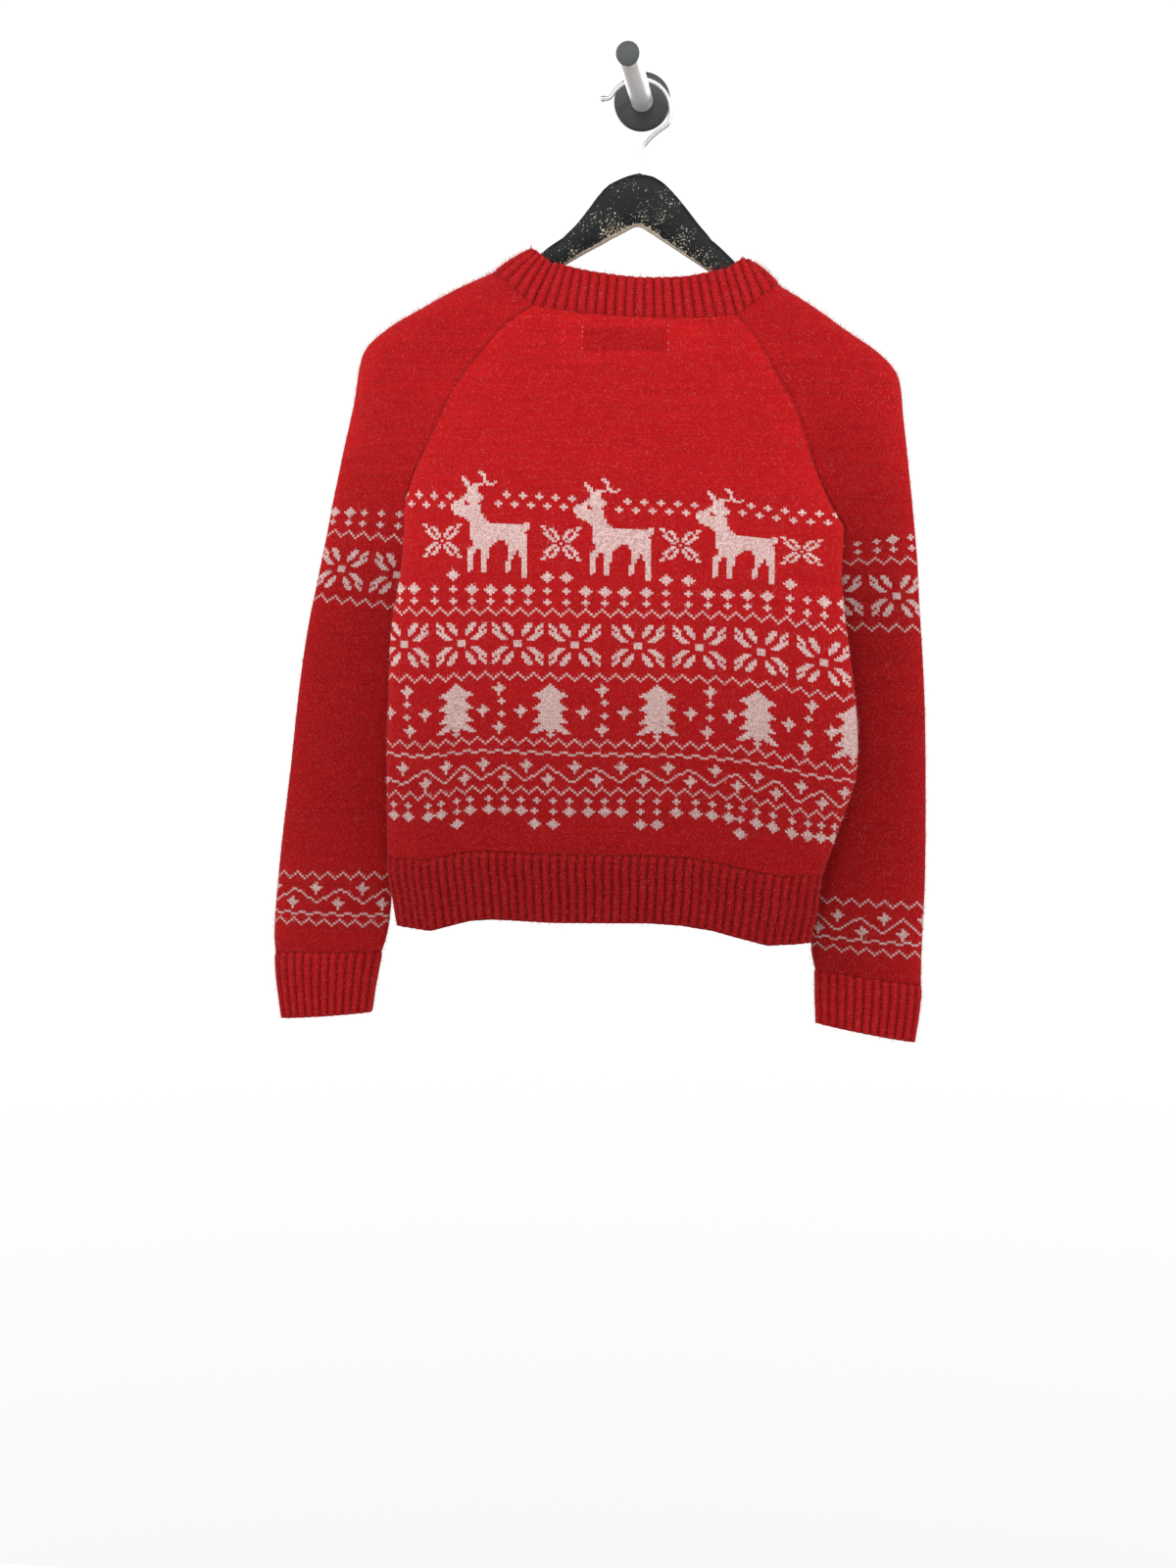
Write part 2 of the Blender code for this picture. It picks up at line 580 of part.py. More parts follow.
# Hook, one bent wire over the peg with a ball at its tip
cx, cz = HOOK_CENTRE
wire = list(HOOK_STEM)
for k in range(HOOK_STEPS + 1):
    turn = math.radians(HOOK_FROM + (HOOK_TO - HOOK_FROM) * k / HOOK_STEPS)
    wire.append((cx + HOOK_RADIUS * math.cos(turn), cz + HOOK_RADIUS * math.sin(turn)))
wire += HOOK_TIP
curve = bpy.data.curves.new("hanger_hook", "CURVE")
curve.dimensions = "3D"
curve.bevel_depth = WIRE_RADIUS * MM
curve.bevel_resolution = 2
curve.use_fill_caps = True
line = curve.splines.new("POLY")
line.points.add(len(wire) - 1)
for k, (x, z) in enumerate(wire):
    line.points[k].co = (x * MM, HANGER_PLANE * MM, z * MM, 1.0)
    line.points[k].radius = 1.35 if k == len(wire) - 1 else 1.0
curve.materials.append(chrome)
hook = bpy.data.objects.new("hanger_hook", curve)
bpy.context.scene.collection.objects.link(hook)


def turned(name, profile, surface, steps=48):
    """A turned solid on the Y axis: (radius, distance from the wall) pairs."""
    rings = []
    for radius, out in profile:
        rings.append([
            np.array([
                radius * math.cos(2 * math.pi * c / steps),
                -out,
                radius * math.sin(2 * math.pi * c / steps),
            ])
            for c in range(steps)
        ])
    return loft(name, rings, surface, smooth=False)


turned("peg_plate", [
    (PLATE_RADIUS, 0.0), (PLATE_RADIUS, PLATE_DEPTH - 1.0), (PLATE_RADIUS - 1.0, PLATE_DEPTH),
], black_plate)
turned("peg_tube", [
    (TUBE_RADIUS, PLATE_DEPTH + METAL_GAP), (TUBE_RADIUS, TUBE_END),
], satin_steel)
turned("peg_cap", [
    (TUBE_RADIUS, TUBE_END + METAL_GAP), (TUBE_RADIUS, CAP_END - 0.6),
    (TUBE_RADIUS - 0.6, CAP_END),
], black_cap)
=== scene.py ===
import math

import bpy
import numpy as np
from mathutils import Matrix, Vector


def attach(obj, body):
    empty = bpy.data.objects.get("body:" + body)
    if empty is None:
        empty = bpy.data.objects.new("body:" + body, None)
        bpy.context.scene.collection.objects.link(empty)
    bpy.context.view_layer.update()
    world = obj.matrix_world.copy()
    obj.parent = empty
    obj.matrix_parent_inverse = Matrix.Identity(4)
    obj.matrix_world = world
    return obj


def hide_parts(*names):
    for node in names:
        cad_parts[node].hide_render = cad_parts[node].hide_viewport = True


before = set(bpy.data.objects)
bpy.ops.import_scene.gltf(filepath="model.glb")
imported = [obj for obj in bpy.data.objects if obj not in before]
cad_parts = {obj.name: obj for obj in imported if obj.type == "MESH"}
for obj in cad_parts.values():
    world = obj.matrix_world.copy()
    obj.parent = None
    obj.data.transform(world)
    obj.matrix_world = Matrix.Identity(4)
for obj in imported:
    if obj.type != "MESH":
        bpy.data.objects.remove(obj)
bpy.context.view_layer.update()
print("frame loaded:", len(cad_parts), "nodes")

mm = 0.001


def rgb(hexText):  # sRGB hex to linear
    values = [int(hexText[i:i + 2], 16) / 255 for i in (1, 3, 5)]
    return [v / 12.92 if v <= 0.04045 else ((v + 0.055) / 1.055) ** 2.4 for v in values] + [1.0]


def addNode(tree, kind, settings=None, values=None, links=None, stops=()):
    made = tree.nodes.new(kind)
    for key, value in (settings or {}).items():
        setattr(made, key, value)
    for key, value in (values or {}).items():
        made.inputs[key].default_value = value
    for key, source in (links or {}).items():
        tree.links.new(source, made.inputs[key])
    if stops:
        elements = made.color_ramp.elements
        while len(elements) < len(stops):
            elements.new(0.5)
        for element, (place, colour) in zip(elements, stops):
            element.position = place
            element.color = colour
    return made


def newMaterial(name, constants):
    made = bpy.data.materials.new(name)
    made.use_nodes = True
    tree = made.node_tree
    shader = tree.nodes["Principled BSDF"]
    for key, value in constants.items():
        shader.inputs[key].default_value = value
    return made, tree, shader


def grainedMaterial(name, look):
    # one fine noise gives the colour, the roughness and the relief
    made, tree, shader = newMaterial(name, look["shader"])
    place = addNode(tree, "ShaderNodeTexCoord").outputs["Object"]
    if "stretch" in look:
        stretched = addNode(tree, "ShaderNodeMapping", values={"Scale": look["stretch"]}, links={"Vector": place})
        place = stretched.outputs[0]
    noise = addNode(tree, "ShaderNodeTexNoise", values={"Scale": look["scale"], "Detail": look["detail"]}, links={
        "Vector": place})
    grain = noise.outputs["Fac"]
    if "colours" in look:
        stops = [(at, rgb(hexText)) for at, hexText in zip((0.3, 0.7), look["colours"])]
        colour = addNode(tree, "ShaderNodeValToRGB", links={"Fac": grain}, stops=stops)
        tree.links.new(colour.outputs["Color"], shader.inputs["Base Color"])
    if "rough" in look:
        low, high = look["rough"]
        rough = addNode(tree, "ShaderNodeMapRange", values={"To Min": low, "To Max": high}, links={"Value": grain})
        tree.links.new(rough.outputs[0], shader.inputs["Roughness"])
    if "relief" in look:
        strength, depth = look["relief"]
        relief = addNode(tree, "ShaderNodeBump", values={"Strength": strength, "Distance": depth}, links={
            "Height": grain})
        tree.links.new(relief.outputs["Normal"], shader.inputs["Normal"])
    return made


def linkObject(name, data):
    made = bpy.data.objects.new(name, data)
    bpy.context.scene.collection.objects.link(made)
    return made


def ease(t):
    t = np.clip(t, 0.0, 1.0)
    return t * t * (3 - 2 * t)


def runLength(points):  # distance gone along a row of points
    return np.concatenate([[0], np.cumsum(np.linalg.norm(np.diff(points, axis=0), axis=1))])


def fitY(cloud, x, z):
    # y at x and z, on the plane through the nearest points of a cloud
    count = 9
    near = np.argsort((cloud[:, 0] - x) ** 2 + (cloud[:, 2] - z) ** 2)[:count]
    terms = np.column_stack([np.ones(count), cloud[near, 0] - x, cloud[near, 2] - z])
    return np.linalg.lstsq(terms, cloud[near, 1], rcond=None)[0][0]


def gridCells(index, turned=False):
    # the faces of a grid of point numbers, or the same faces seen from behind
    corners = [index[:-1, :-1], index[:-1, 1:], index[1:, 1:], index[1:, :-1]]
    if turned:
        corners = corners[:1] + corners[:0:-1]
    return np.stack(corners, -1).reshape(-1, 4)


def slabFaces(index, far, closed):
    # two grids of point numbers joined to a sheet with thickness: its two sides and its rims
    blocks = [
        gridCells(index),
        gridCells(far, turned=True),
        np.stack([index[0, :-1], far[0, :-1], far[0, 1:], index[0, 1:]], -1),
        np.stack([index[-1, :-1], index[-1, 1:], far[-1, 1:], far[-1, :-1]], -1),
    ]
    if not closed:
        blocks += [
            np.stack([index[:-1, 0], index[1:, 0], far[1:, 0], far[:-1, 0]], -1),
            np.stack([index[:-1, -1], far[:-1, -1], far[1:, -1], index[1:, -1]], -1),
        ]
    return blocks


# the jumper's form in mm, as in the solids; level 0 hem edge, 1 top of the hem rib, 2 underarm, 3 neck seam

# level, left x, left z, right x, right z, share of the hem's wave, depth of the back
bodyTable = np.array([
    (0.00, -215.0, -720.0, 152.0, -727.0, 1.00, 21.0),
    (0.50, -220.0, -690.0, 158.0, -697.0, 0.95, 21.0),
    (1.00, -224.0, -657.0, 163.0, -667.0, 0.90, 22.0),
    (1.15, -224.5, -610.0, 180.0, -616.0, 0.75, 23.0),
    (1.30, -224.0, -565.0, 191.0, -576.0, 0.60, 24.0),
    (1.46, -222.0, -515.0, 189.5, -522.0, 0.45, 24.0),
    (1.61, -220.0, -470.0, 184.0, -480.0, 0.30, 23.0),
    (1.73, -216.0, -436.0, 179.0, -444.0, 0.10, 23.0),
    (1.84, -209.0, -400.0, 176.0, -412.0, 0.00, 22.0),
    (2.00, -205.0, -342.0, 177.0, -368.0, 0.40, 22.0),
])

# share of the width, rise of the hem above a straight line
hemWave = np.array([
    (0.00, 0.0), (0.09, -1.4), (0.14, 4.0), (0.19, 9.3), (0.24, 11.4), (0.31, 11.0),
    (0.40, 11.0), (0.62, 14.0), (0.70, 13.0), (0.77, 9.0), (0.83, 3.8), (0.90, -1.7),
    (0.96, -1.2), (1.00, 0.0),
])

# soft folds of the back: share of the width, half width, lift at the hem, level it dies at
backFolds = ((0.10, 0.06, 3.0, 1.9), (0.30, 0.07, -2.0, 1.7), (0.78, 0.06, -2.5, 1.9), (0.90, 0.05, 3.0, 2.0))

# raglan seams and shoulder line: level, left x y z, right x y z
backRaglan = np.array([
    (2.00, -205.0, -37.0, -342.0, 177.0, -37.0, -368.0),
    (2.15, -194.5, -43.0, -316.0, 164.0, -43.0, -346.0),
    (2.30, -184.0, -45.5, -296.0, 152.5, -45.5, -320.0),
    (2.45, -173.0, -46.5, -272.0, 143.5, -46.5, -291.0),
    (2.60, -157.0, -47.0, -243.0, 134.0, -47.0, -265.0),
    (2.75, -138.0, -47.0, -219.0, 120.0, -47.0, -241.0),
    (2.88, -114.0, -46.5, -193.5, 103.0, -46.5, -211.0),
    (3.00, -90.0, -46.0, -178.0, 86.0, -46.0, -190.5),
])
frontRaglan = np.array([
    (2.00, -205.0, -37.0, -342.0, 177.0, -37.0, -368.0),
    (2.15, -193.0, -26.0, -319.0, 165.0, -26.0, -346.0),
    (2.30, -180.0, -18.5, -300.0, 153.0, -18.5, -324.0),
    (2.45, -168.0, -14.5, -281.0, 142.0, -14.5, -301.0),
    (2.60, -153.0, -13.0, -262.0, 131.0, -13.0, -279.0),
    (2.75, -134.0, -12.5, -243.0, 117.0, -12.5, -258.0),
    (2.88, -112.0, -12.0, -227.0, 101.0, -12.0, -239.0),
    (3.00, -88.0, -11.5, -214.0, 84.0, -11.5, -224.0),
])
shoulderLine = np.array([
    (2.00, -277.0, -17.0, -344.0, 236.0, -17.0, -352.0),
    (2.15, -267.0, -18.0, -303.0, 231.0, -18.0, -312.0),
    (2.30, -255.0, -21.0, -257.0, 226.0, -21.0, -276.0),
    (2.45, -245.0, -25.0, -213.0, 221.0, -25.0, -243.0),
    (2.60, -222.0, -27.5, -192.5, 205.0, -27.5, -222.5),
    (2.75, -190.0, -28.0, -176.0, 176.0, -28.0, -201.5),
    (2.88, -157.0, -28.0, -159.5, 147.0, -28.0, -181.0),
    (3.00, -126.0, -28.0, -146.5, 119.0, -28.0, -163.0),
])

# level, inner x y z, outer x y z, swell toward the room, swell toward the wall
sleeveTables = {
    "left": np.array([
        (0.00, -247.0, -17.0, -805.0, -331.0, -17.0, -813.0, 9.0, 9.0),
        (0.50, -242.0, -17.0, -776.0, -334.5, -17.0, -785.0, 10.5, 10.5),
        (1.00, -236.0, -17.0, -748.0, -336.5, -17.0, -750.0, 12.0, 12.0),
        (1.10, -229.0, -17.0, -720.0, -335.5, -17.0, -718.0, 13.0, 13.0),
        (1.28, -220.0, -17.0, -640.0, -328.5, -17.0, -643.0, 12.0, 12.0),
        (1.45, -212.0, -17.0, -570.0, -319.0, -17.0, -573.0, 11.0, 11.0),
        (1.60, -205.0, -18.0, -505.0, -309.0, -17.0, -503.0, 10.5, 10.5),
        (1.72, -200.0, -19.0, -455.0, -300.5, -17.0, -452.0, 10.0, 10.0),
        (1.84, -199.0, -22.0, -410.0, -291.0, -17.0, -408.0, 8.5, 11.5),
        (1.93, -202.0, -28.0, -372.0, -283.0, -17.0, -372.0, 6.0, 14.0),
        (2.00, -206.0, -35.0, -343.0, -277.0, -17.0, -344.0, 4.0, 16.0),
    ]),
    "right": np.array([
        (0.00, 159.0, -17.0, -803.0, 245.0, -17.0, -818.0, 9.0, 9.0),
        (0.50, 158.0, -17.0, -779.0, 248.5, -17.0, -790.0, 10.5, 10.5),
        (1.00, 157.0, -17.0, -754.0, 250.0, -17.0, -766.0, 12.0, 12.0),
        (1.10, 154.0, -17.0, -728.0, 250.5, -17.0, -735.0, 13.0, 13.0),
        (1.28, 160.0, -17.0, -672.0, 252.0, -17.0, -676.0, 12.0, 12.0),
        (1.45, 168.0, -17.0, -600.0, 251.5, -17.0, -602.0, 11.0, 11.0),
        (1.60, 171.0, -18.0, -530.0, 250.0, -17.0, -532.0, 10.5, 10.5),
        (1.72, 172.0, -19.0, -480.0, 247.0, -17.0, -482.0, 10.0, 10.0),
        (1.84, 170.0, -22.0, -433.0, 243.0, -17.0, -435.0, 8.5, 11.5),
        (1.93, 172.0, -28.0, -398.0, 240.5, -17.0, -396.0, 6.0, 14.0),
        (2.00, 178.0, -35.0, -369.0, 236.0, -17.0, -352.0, 4.0, 16.0),
    ]),
}

# x on the neck seam, shift and rise of the neckband's top edge
bandLean = np.array([
    (-126.0, 33.0, 18.5), (-114.0, 27.0, 25.0), (-101.0, 19.0, 32.0), (-84.0, 14.0, 37.0),
    (-52.0, 4.0, 36.5), (0.0, 0.0, 34.5), (45.0, -5.0, 35.5), (84.0, -11.0, 39.5),
    (102.0, -13.0, 35.0), (112.0, -17.0, 25.0), (119.0, -20.0, 17.0),
])

form = {
    "middleY": -38.0,  # plane of the side seams
    "backCurve": 2.5,  # power of the back's curve across
    "yokeUp": (0, 0.15, 0.3, 0.5, 0.75, 1), "yokeSwell": (22, 17.5, 13, 9, 5, 2.5),  # back, above the underarm
    "wave": 0.4,  # what is left of the hem's wave at the underarm
    "backDip": 6.5, "frontDip": 38.0,  # how far the neck seams hang in the middle
    "frontIn": 5.0, "frontSwell": 25.0,  # the front's step in at the sides, and its swell toward the wall
    "frontY": -8.0,  # how near the wall its middle comes above the underarm
    "backOver": 0.5, "frontOver": 0.4,  # part of a level over which the yoke flattens
    "armRoom": 4.0, "armWall": 16.0,  # swell of a sleeve at the underarm, to the room and to the wall
    "armpitOver": 0.12, "shoulderOver": 0.5,  # part of a level over which the tube joins on and turns round
    "bulge": 0.87,  # power of the rounded shoulder
    "near": 0.004,  # step of share or level over which a slope is taken
}


def rowAt(table, level):
    # a smooth curve through the rows of a table
    keys = table[:, 0]
    k = int(np.clip(np.searchsorted(keys, level, side="right") - 1, 0, len(keys) - 2))
    width = keys[k + 1] - keys[k]
    t = (level - keys[k]) / width
    low, high = table[k, 1:], table[k + 1, 1:]
    before, after = table[max(k - 1, 0)], table[min(k + 2, len(keys) - 1)]
    slopeLow = (high - before[1:]) / (keys[k + 1] - before[0]) * width
    slopeHigh = (after[1:] - low) / (after[0] - keys[k]) * width
    return (
        (2 * t**3 - 3 * t**2 + 1) * low + (t**3 - 2 * t**2 + t) * slopeLow
        + (3 * t**2 - 2 * t**3) * high + (t**3 - t**2) * slopeHigh
    )


def oval(u, power):
    return np.maximum(0.0, 1.0 - np.abs(u) ** power) ** (1.0 / power)


def panelEdges(level, raglan):
    if level <= 2:
        row = rowAt(bodyTable, level)
        return row[0], row[2]
    row = rowAt(raglan, level)
    return row[0], row[3]


def backSurface(level, share):
    u = 2 * share - 1
    wave = np.interp(share, hemWave[:, 0], hemWave[:, 1])
    if level <= 2:
        lx, lz, rx, rz, sag, depth = rowAt(bodyTable, level)
        lift = 0.0
        for middle, half, height, dies in backFolds:
            near = np.maximum(0.0, 1.0 - ((share - middle) / half) ** 2)  # 1 on the fold, 0 beside it
            lift = lift + height * near**2 * ease((dies - level) / dies)
        y = form["middleY"] - depth * oval(u, form["backCurve"]) - lift
        z = lz + (rz - lz) * share + sag * wave
        return np.column_stack([lx + (rx - lx) * share, y, z])
    lx, ly, lz, rx, ry, rz = rowAt(backRaglan, level)
    up = level - 2
    sag = form["wave"] * (1 - up) ** 2 * wave - form["backDip"] * up * 4 * share * (1 - share)
    middle = np.interp(up, form["yokeUp"], form["yokeSwell"])
    flat = ease(up / form["backOver"])
    swell = (1 - flat) * oval(u, form["backCurve"]) + flat * (1 - u * u)
    y = ly + (ry - ly) * share - middle * swell
    return np.column_stack([lx + (rx - lx) * share, y, lz + (rz - lz) * share + sag])


def frontSurface(level, share):
    u = 2 * share - 1
    wave = np.interp(share, hemWave[:, 0], hemWave[:, 1])
    if level <= 2:
        lx, lz, rx, rz, sag, depth = rowAt(bodyTable, level)
        y = (
            form["middleY"] + form["frontIn"] * np.sqrt(np.maximum(0.0, 1 - np.abs(u) ** 8))
            + form["frontSwell"] * np.maximum(0, 1 - u * u) ** 1.5
        )
        return np.column_stack([lx + (rx - lx) * share, y, lz + (rz - lz) * share + sag * wave])
    lx, ly, lz, rx, ry, rz = rowAt(frontRaglan, level)
    up = level - 2
    dip = np.maximum(0, 4 * share * (1 - share))
    sag = form["wave"] * (1 - up) ** 2 * wave - form["frontDip"] * up**1.6 * dip**1.25
    edge = ly + (ry - ly) * share
    flat = ease(up / form["frontOver"])
    swell = (1 - flat) * np.maximum(0, 1 - u * u) ** 0.9 + flat * (1 - u * u)
    y = edge + (form["frontY"] - edge) * swell
    return np.column_stack([lx + (rx - lx) * share, y, lz + (rz - lz) * share + sag])


def halfRing(inner, outer, swell, turned, share):
    # one side of a sleeve, from the inner edge to the outer one: a flat tube that turns into a rounded shoulder
    share = share[:, None]
    along = (1 - np.cos(math.pi * share)) / 2
    tube = inner + (outer - inner) * along
    tube[:, 1:2] += swell * np.maximum(0, np.sin(math.pi * share)) ** 0.8
    across = np.sin(math.pi * share / 2) ** form["bulge"]
    over = 1 - np.maximum(0, np.cos(math.pi * share / 2)) ** form["bulge"]
    rounded = inner + (outer - inner) * np.hstack([across, over, across])
    return (1 - turned) * tube + turned * rounded


def sleeveSurface(side):
    table = sleeveTables[side]
    columns = slice(0, 3) if side == "left" else slice(3, 6)

    def surface(level, share):
        share = np.asarray(share, float)
        if level <= 2:
            row = rowAt(table, level)
            backEdge = frontEdge = row[0:3]
            outer, room, wall, turned = row[3:6], row[6], row[7], 0.0
        else:
            up = level - 2
            near = ease(up / form["armpitOver"])
            apart = table[-1, 1:4] - backRaglan[0, 1:][columns]
            backEdge = rowAt(backRaglan, level)[columns] + apart * (1 - near)
            frontEdge = rowAt(frontRaglan, level)[columns] + apart * (1 - near)
            outer = rowAt(shoulderLine, level)[columns]
            room, wall = form["armRoom"] * (1 - up), form["armWall"] * (1 - up)
            turned = ease(up / form["shoulderOver"])
        first = halfRing(backEdge, outer, -room, turned, np.minimum(share, 0.5) * 2)
        second = halfRing(frontEdge, outer, wall, turned, 2 - np.maximum(share, 0.5) * 2)
        return np.where(share[:, None] <= 0.5, first, second)

    return surface


def normalRow(surface, level, share, sign):
    low = np.clip(share - form["near"], 0, 1)
    high = np.clip(share + form["near"], 0, 1)
    along = surface(level, high) - surface(level, low)
    under, over = max(level - form["near"], 0.0), min(level + form["near"], 3.0)
    up = surface(over, share) - surface(under, share)
    normal = np.cross(along, up) * sign
    return normal / np.maximum(np.linalg.norm(normal, axis=1, keepdims=True), 1e-9)


# motif charts, one cell a stitch

reindeer = (  # runs of white stitches, a row an entry, from the antlers down
    "10-11", "11-12", "4 12", "4-5 12", "5-6 12-13 16", "5-6 8-11 13-15", "6-7 8-9", "6-9", "6-9",
    "5-10", "4-11", "3-11", "1-4 6-10", "0-4 7-9", "0-10", "0-10", "1-10", "1-10", "3-11", "5-11",
    "6-12", "7-13 27-28", "7-28", "7-28", "7-27", "7-26", "7-27", "7-27", "7-27", "8-16 20-27",
    "8-15 20-27", "8-9 10-14 21-27", "7-9 10-13 21-23 24-27", "6-8 11-13 21-23 25-27",
    "6-8 11-13 21-23 25-27", "6-7 11-13 21-22 25-27", "6-7 11-13 21-22 26-27", "6-7 11-12 21 26-27",
    "6-7 11-12 20-21 26-27", "6-7 11-12 20-21 26-27", "6-7 11-12 20-21 26-27", "6-7 11-12 20-21 26-27",
    "6 11-12 20 26-27", "26-27", "26-27",
)
treeHalves = (0, 1, 2, 3, 5, 6, 4, 3, 3, 4, 5, 6, 4, 3, 4, 4, 5, 6, 3, 4, 5)
quadrants = {  # cells right of and above the middle, mirrored both ways
    "star": ((0, 0), (1, 0), (2, 0), (0, 1), (1, 1), (0, 2)),
    "cross": ((0, 0), (1, 0), (0, 1)),
    "flower": (
        (0, 0), (1, 0), (0, 1), (1, 1),
        (2, 4), (2, 5), (2, 6), (3, 5), (3, 6), (3, 7), (3, 8), (4, 6), (4, 7), (4, 8), (4, 9), (5, 8), (5, 9),
        (4, 2), (5, 2), (5, 3), (6, 2), (6, 3), (6, 4), (7, 3), (7, 4), (7, 5), (7, 6), (7, 7), (8, 4), (8, 5),
        (8, 7), (8, 8), (9, 5), (9, 6), (9, 8), (9, 9),
    ),
    "bloom": (
        (0, 0), (1, 2), (1, 3), (2, 3), (2, 4), (2, 5), (3, 5), (3, 6), (4, 6), (2, 1), (3, 1), (3, 2), (4, 2),
        (4, 3), (5, 3), (5, 4), (6, 4), (5, 5), (6, 6), (6, 7), (7, 7),
    ),
}
motifs = {
    name: [(sx * x, sy * y) for x, y in cells for sx in (-1, 1) for sy in (-1, 1)]
    for name, cells in quadrants.items()
}
motifs["tall"] = [(0, y) for y in range(-3, 3)] + [(x, 0) for x in range(-2, 3)] + [(-1, -1), (1, -1), (1, 1)]
motifs["tree"] = [(x, 12 - k) for k, half in enumerate(treeHalves) for x in range(-half, half + 1)] + [
    (s * x, y) for y, xs in ((-9, (0, 1, 3, 4, 5, 6)), (-10, (0, 5, 6, 7)), (-11, (0, 1)), (-12, (0,)))
    for x in xs for s in (-1, 1)
]
motifs["deer"] = [
    (x, -k) for k, line in enumerate(reindeer) for run in line.split()
    for x in range(int(run.split("-")[0]), int(run.split("-")[-1]) + 1)
]

bodyMotifs = (  # motif, row and columns of its middle, or of its top left corner for a reindeer
    ("deer", 170, (25.3, 69.8, 114.4)),
    ("bloom", 141, (20.8, 64.6)), ("bloom", 142, (108.1,)), ("bloom", 143, (150.6,)),
    ("star", 126, (25.2, 60.2, 67.2, 103.2, 110.8, 146.7)),
    ("cross", 120, (18.1, 25.2, 60.2, 67.2, 103.2, 110.8, 146.7, 152.6)),
    ("star", 120, (
        3.5, 10.4, 32.2, 39.2, 46.1, 53, 74.1, 81.2, 88.3, 95.7, 117.5, 124.8, 132.1, 139.4, 159.2, 166, 173)),
    ("cross", 115, (
        3.5, 10.5, 18.1, 25.2, 32.2, 39.2, 46.1, 53, 60.2, 67.2, 74.1, 81.2, 88.3, 95.7, 103.1, 110.8, 117.5, 124.8,
        132.1, 139.4, 146.7, 152.6, 159.2, 166, 173)),
    ("flower", 96, (5.5, 27.5, 49, 70.5, 93, 115, 137, 159, 181)),
    ("tree", 66, (26, 60.7, 100.2, 136.5, 170.5)),
    ("tall", 76, (7, 42.2, 80.2, 118.6, 155)), ("cross", 70, (7, 42.6, 81, 118.6, 154.4)),
    ("cross", 64, (7, 42.7, 80.6, 118.7, 154)), ("tall", 58, (7.5, 42, 80, 118, 153)),
    ("tall", 66, (-0.5, 14.5, 36, 49.5, 73.2, 88.1, 111.8, 125.6, 147.2, 162)),
    ("tall", 41, (5, 22.3, 36.4, 52.1, 69.5, 87.1, 104.1, 121.4, 136.2, 152.3, 167.7)),
    ("tall", 35, (-3, 14.3, 29.3, 44.4, 60.4, 77.7, 94.8, 111.6, 128.8, 143, 160, 175)),
    ("cross", 25, (
        1.1, 7.2, 14.6, 20.5, 26, 31.4, 37.7, 43.6, 49.8, 55.5, 61.6, 68.3, 74.8, 80.9, 87.4, 93.6, 100.2, 107,
        113.7, 119.7, 126, 130.6, 136.3, 141.5, 148.6, 154.9, 160.2, 165.3)),
    ("cross", 20, (26.2, 55.3, 61.5, 93.5, 100.2, 130.3)),
    ("star", 20, (
        1.1, 7.2, 14.6, 20.5, 31.4, 37.7, 43.6, 49.8, 68.3, 74.8, 80.9, 87.4, 107, 113.7, 119.7, 126, 136.3, 141.5,
        148.6, 154.9, 160.2, 165.3)),
    ("star", 14, (26.5, 55.3, 61.5, 93.5, 100.2, 129.8)),
)
bodyPeaks = [(-5, 38)] + [(x, 41 if k % 2 else 34) for k, x in enumerate((
    5.3, 14.4, 22.2, 29.4, 36.3, 44.2, 52.1, 60.5, 69.5, 78, 87, 94.9, 103.8, 112, 120.6, 128.9, 136, 143.6, 151.5,
    160.3, 167, 175,
))]


def put(chart, motif, row, column):
    for dx, dy in motifs[motif]:
        r, c = int(round(row)) + dy, int(round(column)) + dx
        if 0 <= r < chart.shape[0] and 0 <= c < chart.shape[1]:
            chart[r, c] = 1


def zigzag(chart, row, phase, period=6, height=3):
    for c in range(chart.shape[1]):
        t = ((c - phase) / period) % 1.0
        chart[int(row) + int(round(height * abs(2 * t - 1))), c] = 1


def bigZigzag(chart, corners):
    columns, rows = zip(*corners)
    for c in range(chart.shape[1]):
        low, high = sorted(int(round(np.interp(x, columns, rows))) for x in (c, c + 1))
        chart[low:max(high, low + 1), c] = 1


def dottedLine(chart, row):
    for c in range(chart.shape[1]):
        chart[row + (c // 3) % 2, c] = 1


def soften(chart):
    # a white stitch alone among red ones shows thinner: the red nap closes over it
    padded = np.pad(chart, 1)
    rows, columns = chart.shape
    near = sum(padded[i:rows + i, j:columns + j] for i in range(3) for j in range(3)) - chart
    return chart * np.clip(0.84 + 0.04 * near, 0, 1)


def bodyChart(columns, rows, left):
    chart = np.zeros((rows, columns), np.float32)
    for row, phase in ((28, 2), (50, 4), (80, 1), (109, 2)):
        zigzag(chart, row, phase - left)
    bigZigzag(chart, [(x - left, r) for x, r in bodyPeaks])
    dottedLine(chart, 46)
    for name, row, places in bodyMotifs:
        for x in places:
            put(chart, name, row, x - left)
    # two rows of crosses run from each reindeer's head to the one on its left
    heads = [x - left for x in bodyMotifs[0][2]]
    for n, head in enumerate(heads + [heads[-1] + 44]):
        first = heads[n - 1] + 15.5 if n else 0
        last = n == len(heads)
        for k in range(-1 if last else 0, 10):
            for row, x in ((161, head - 1.1 - 6 * k), (157, head - 4.3 - 6 * k)):
                if x > first:
                    put(chart, "cross", row + (3.5 if last else 0), x)
    return soften(chart)


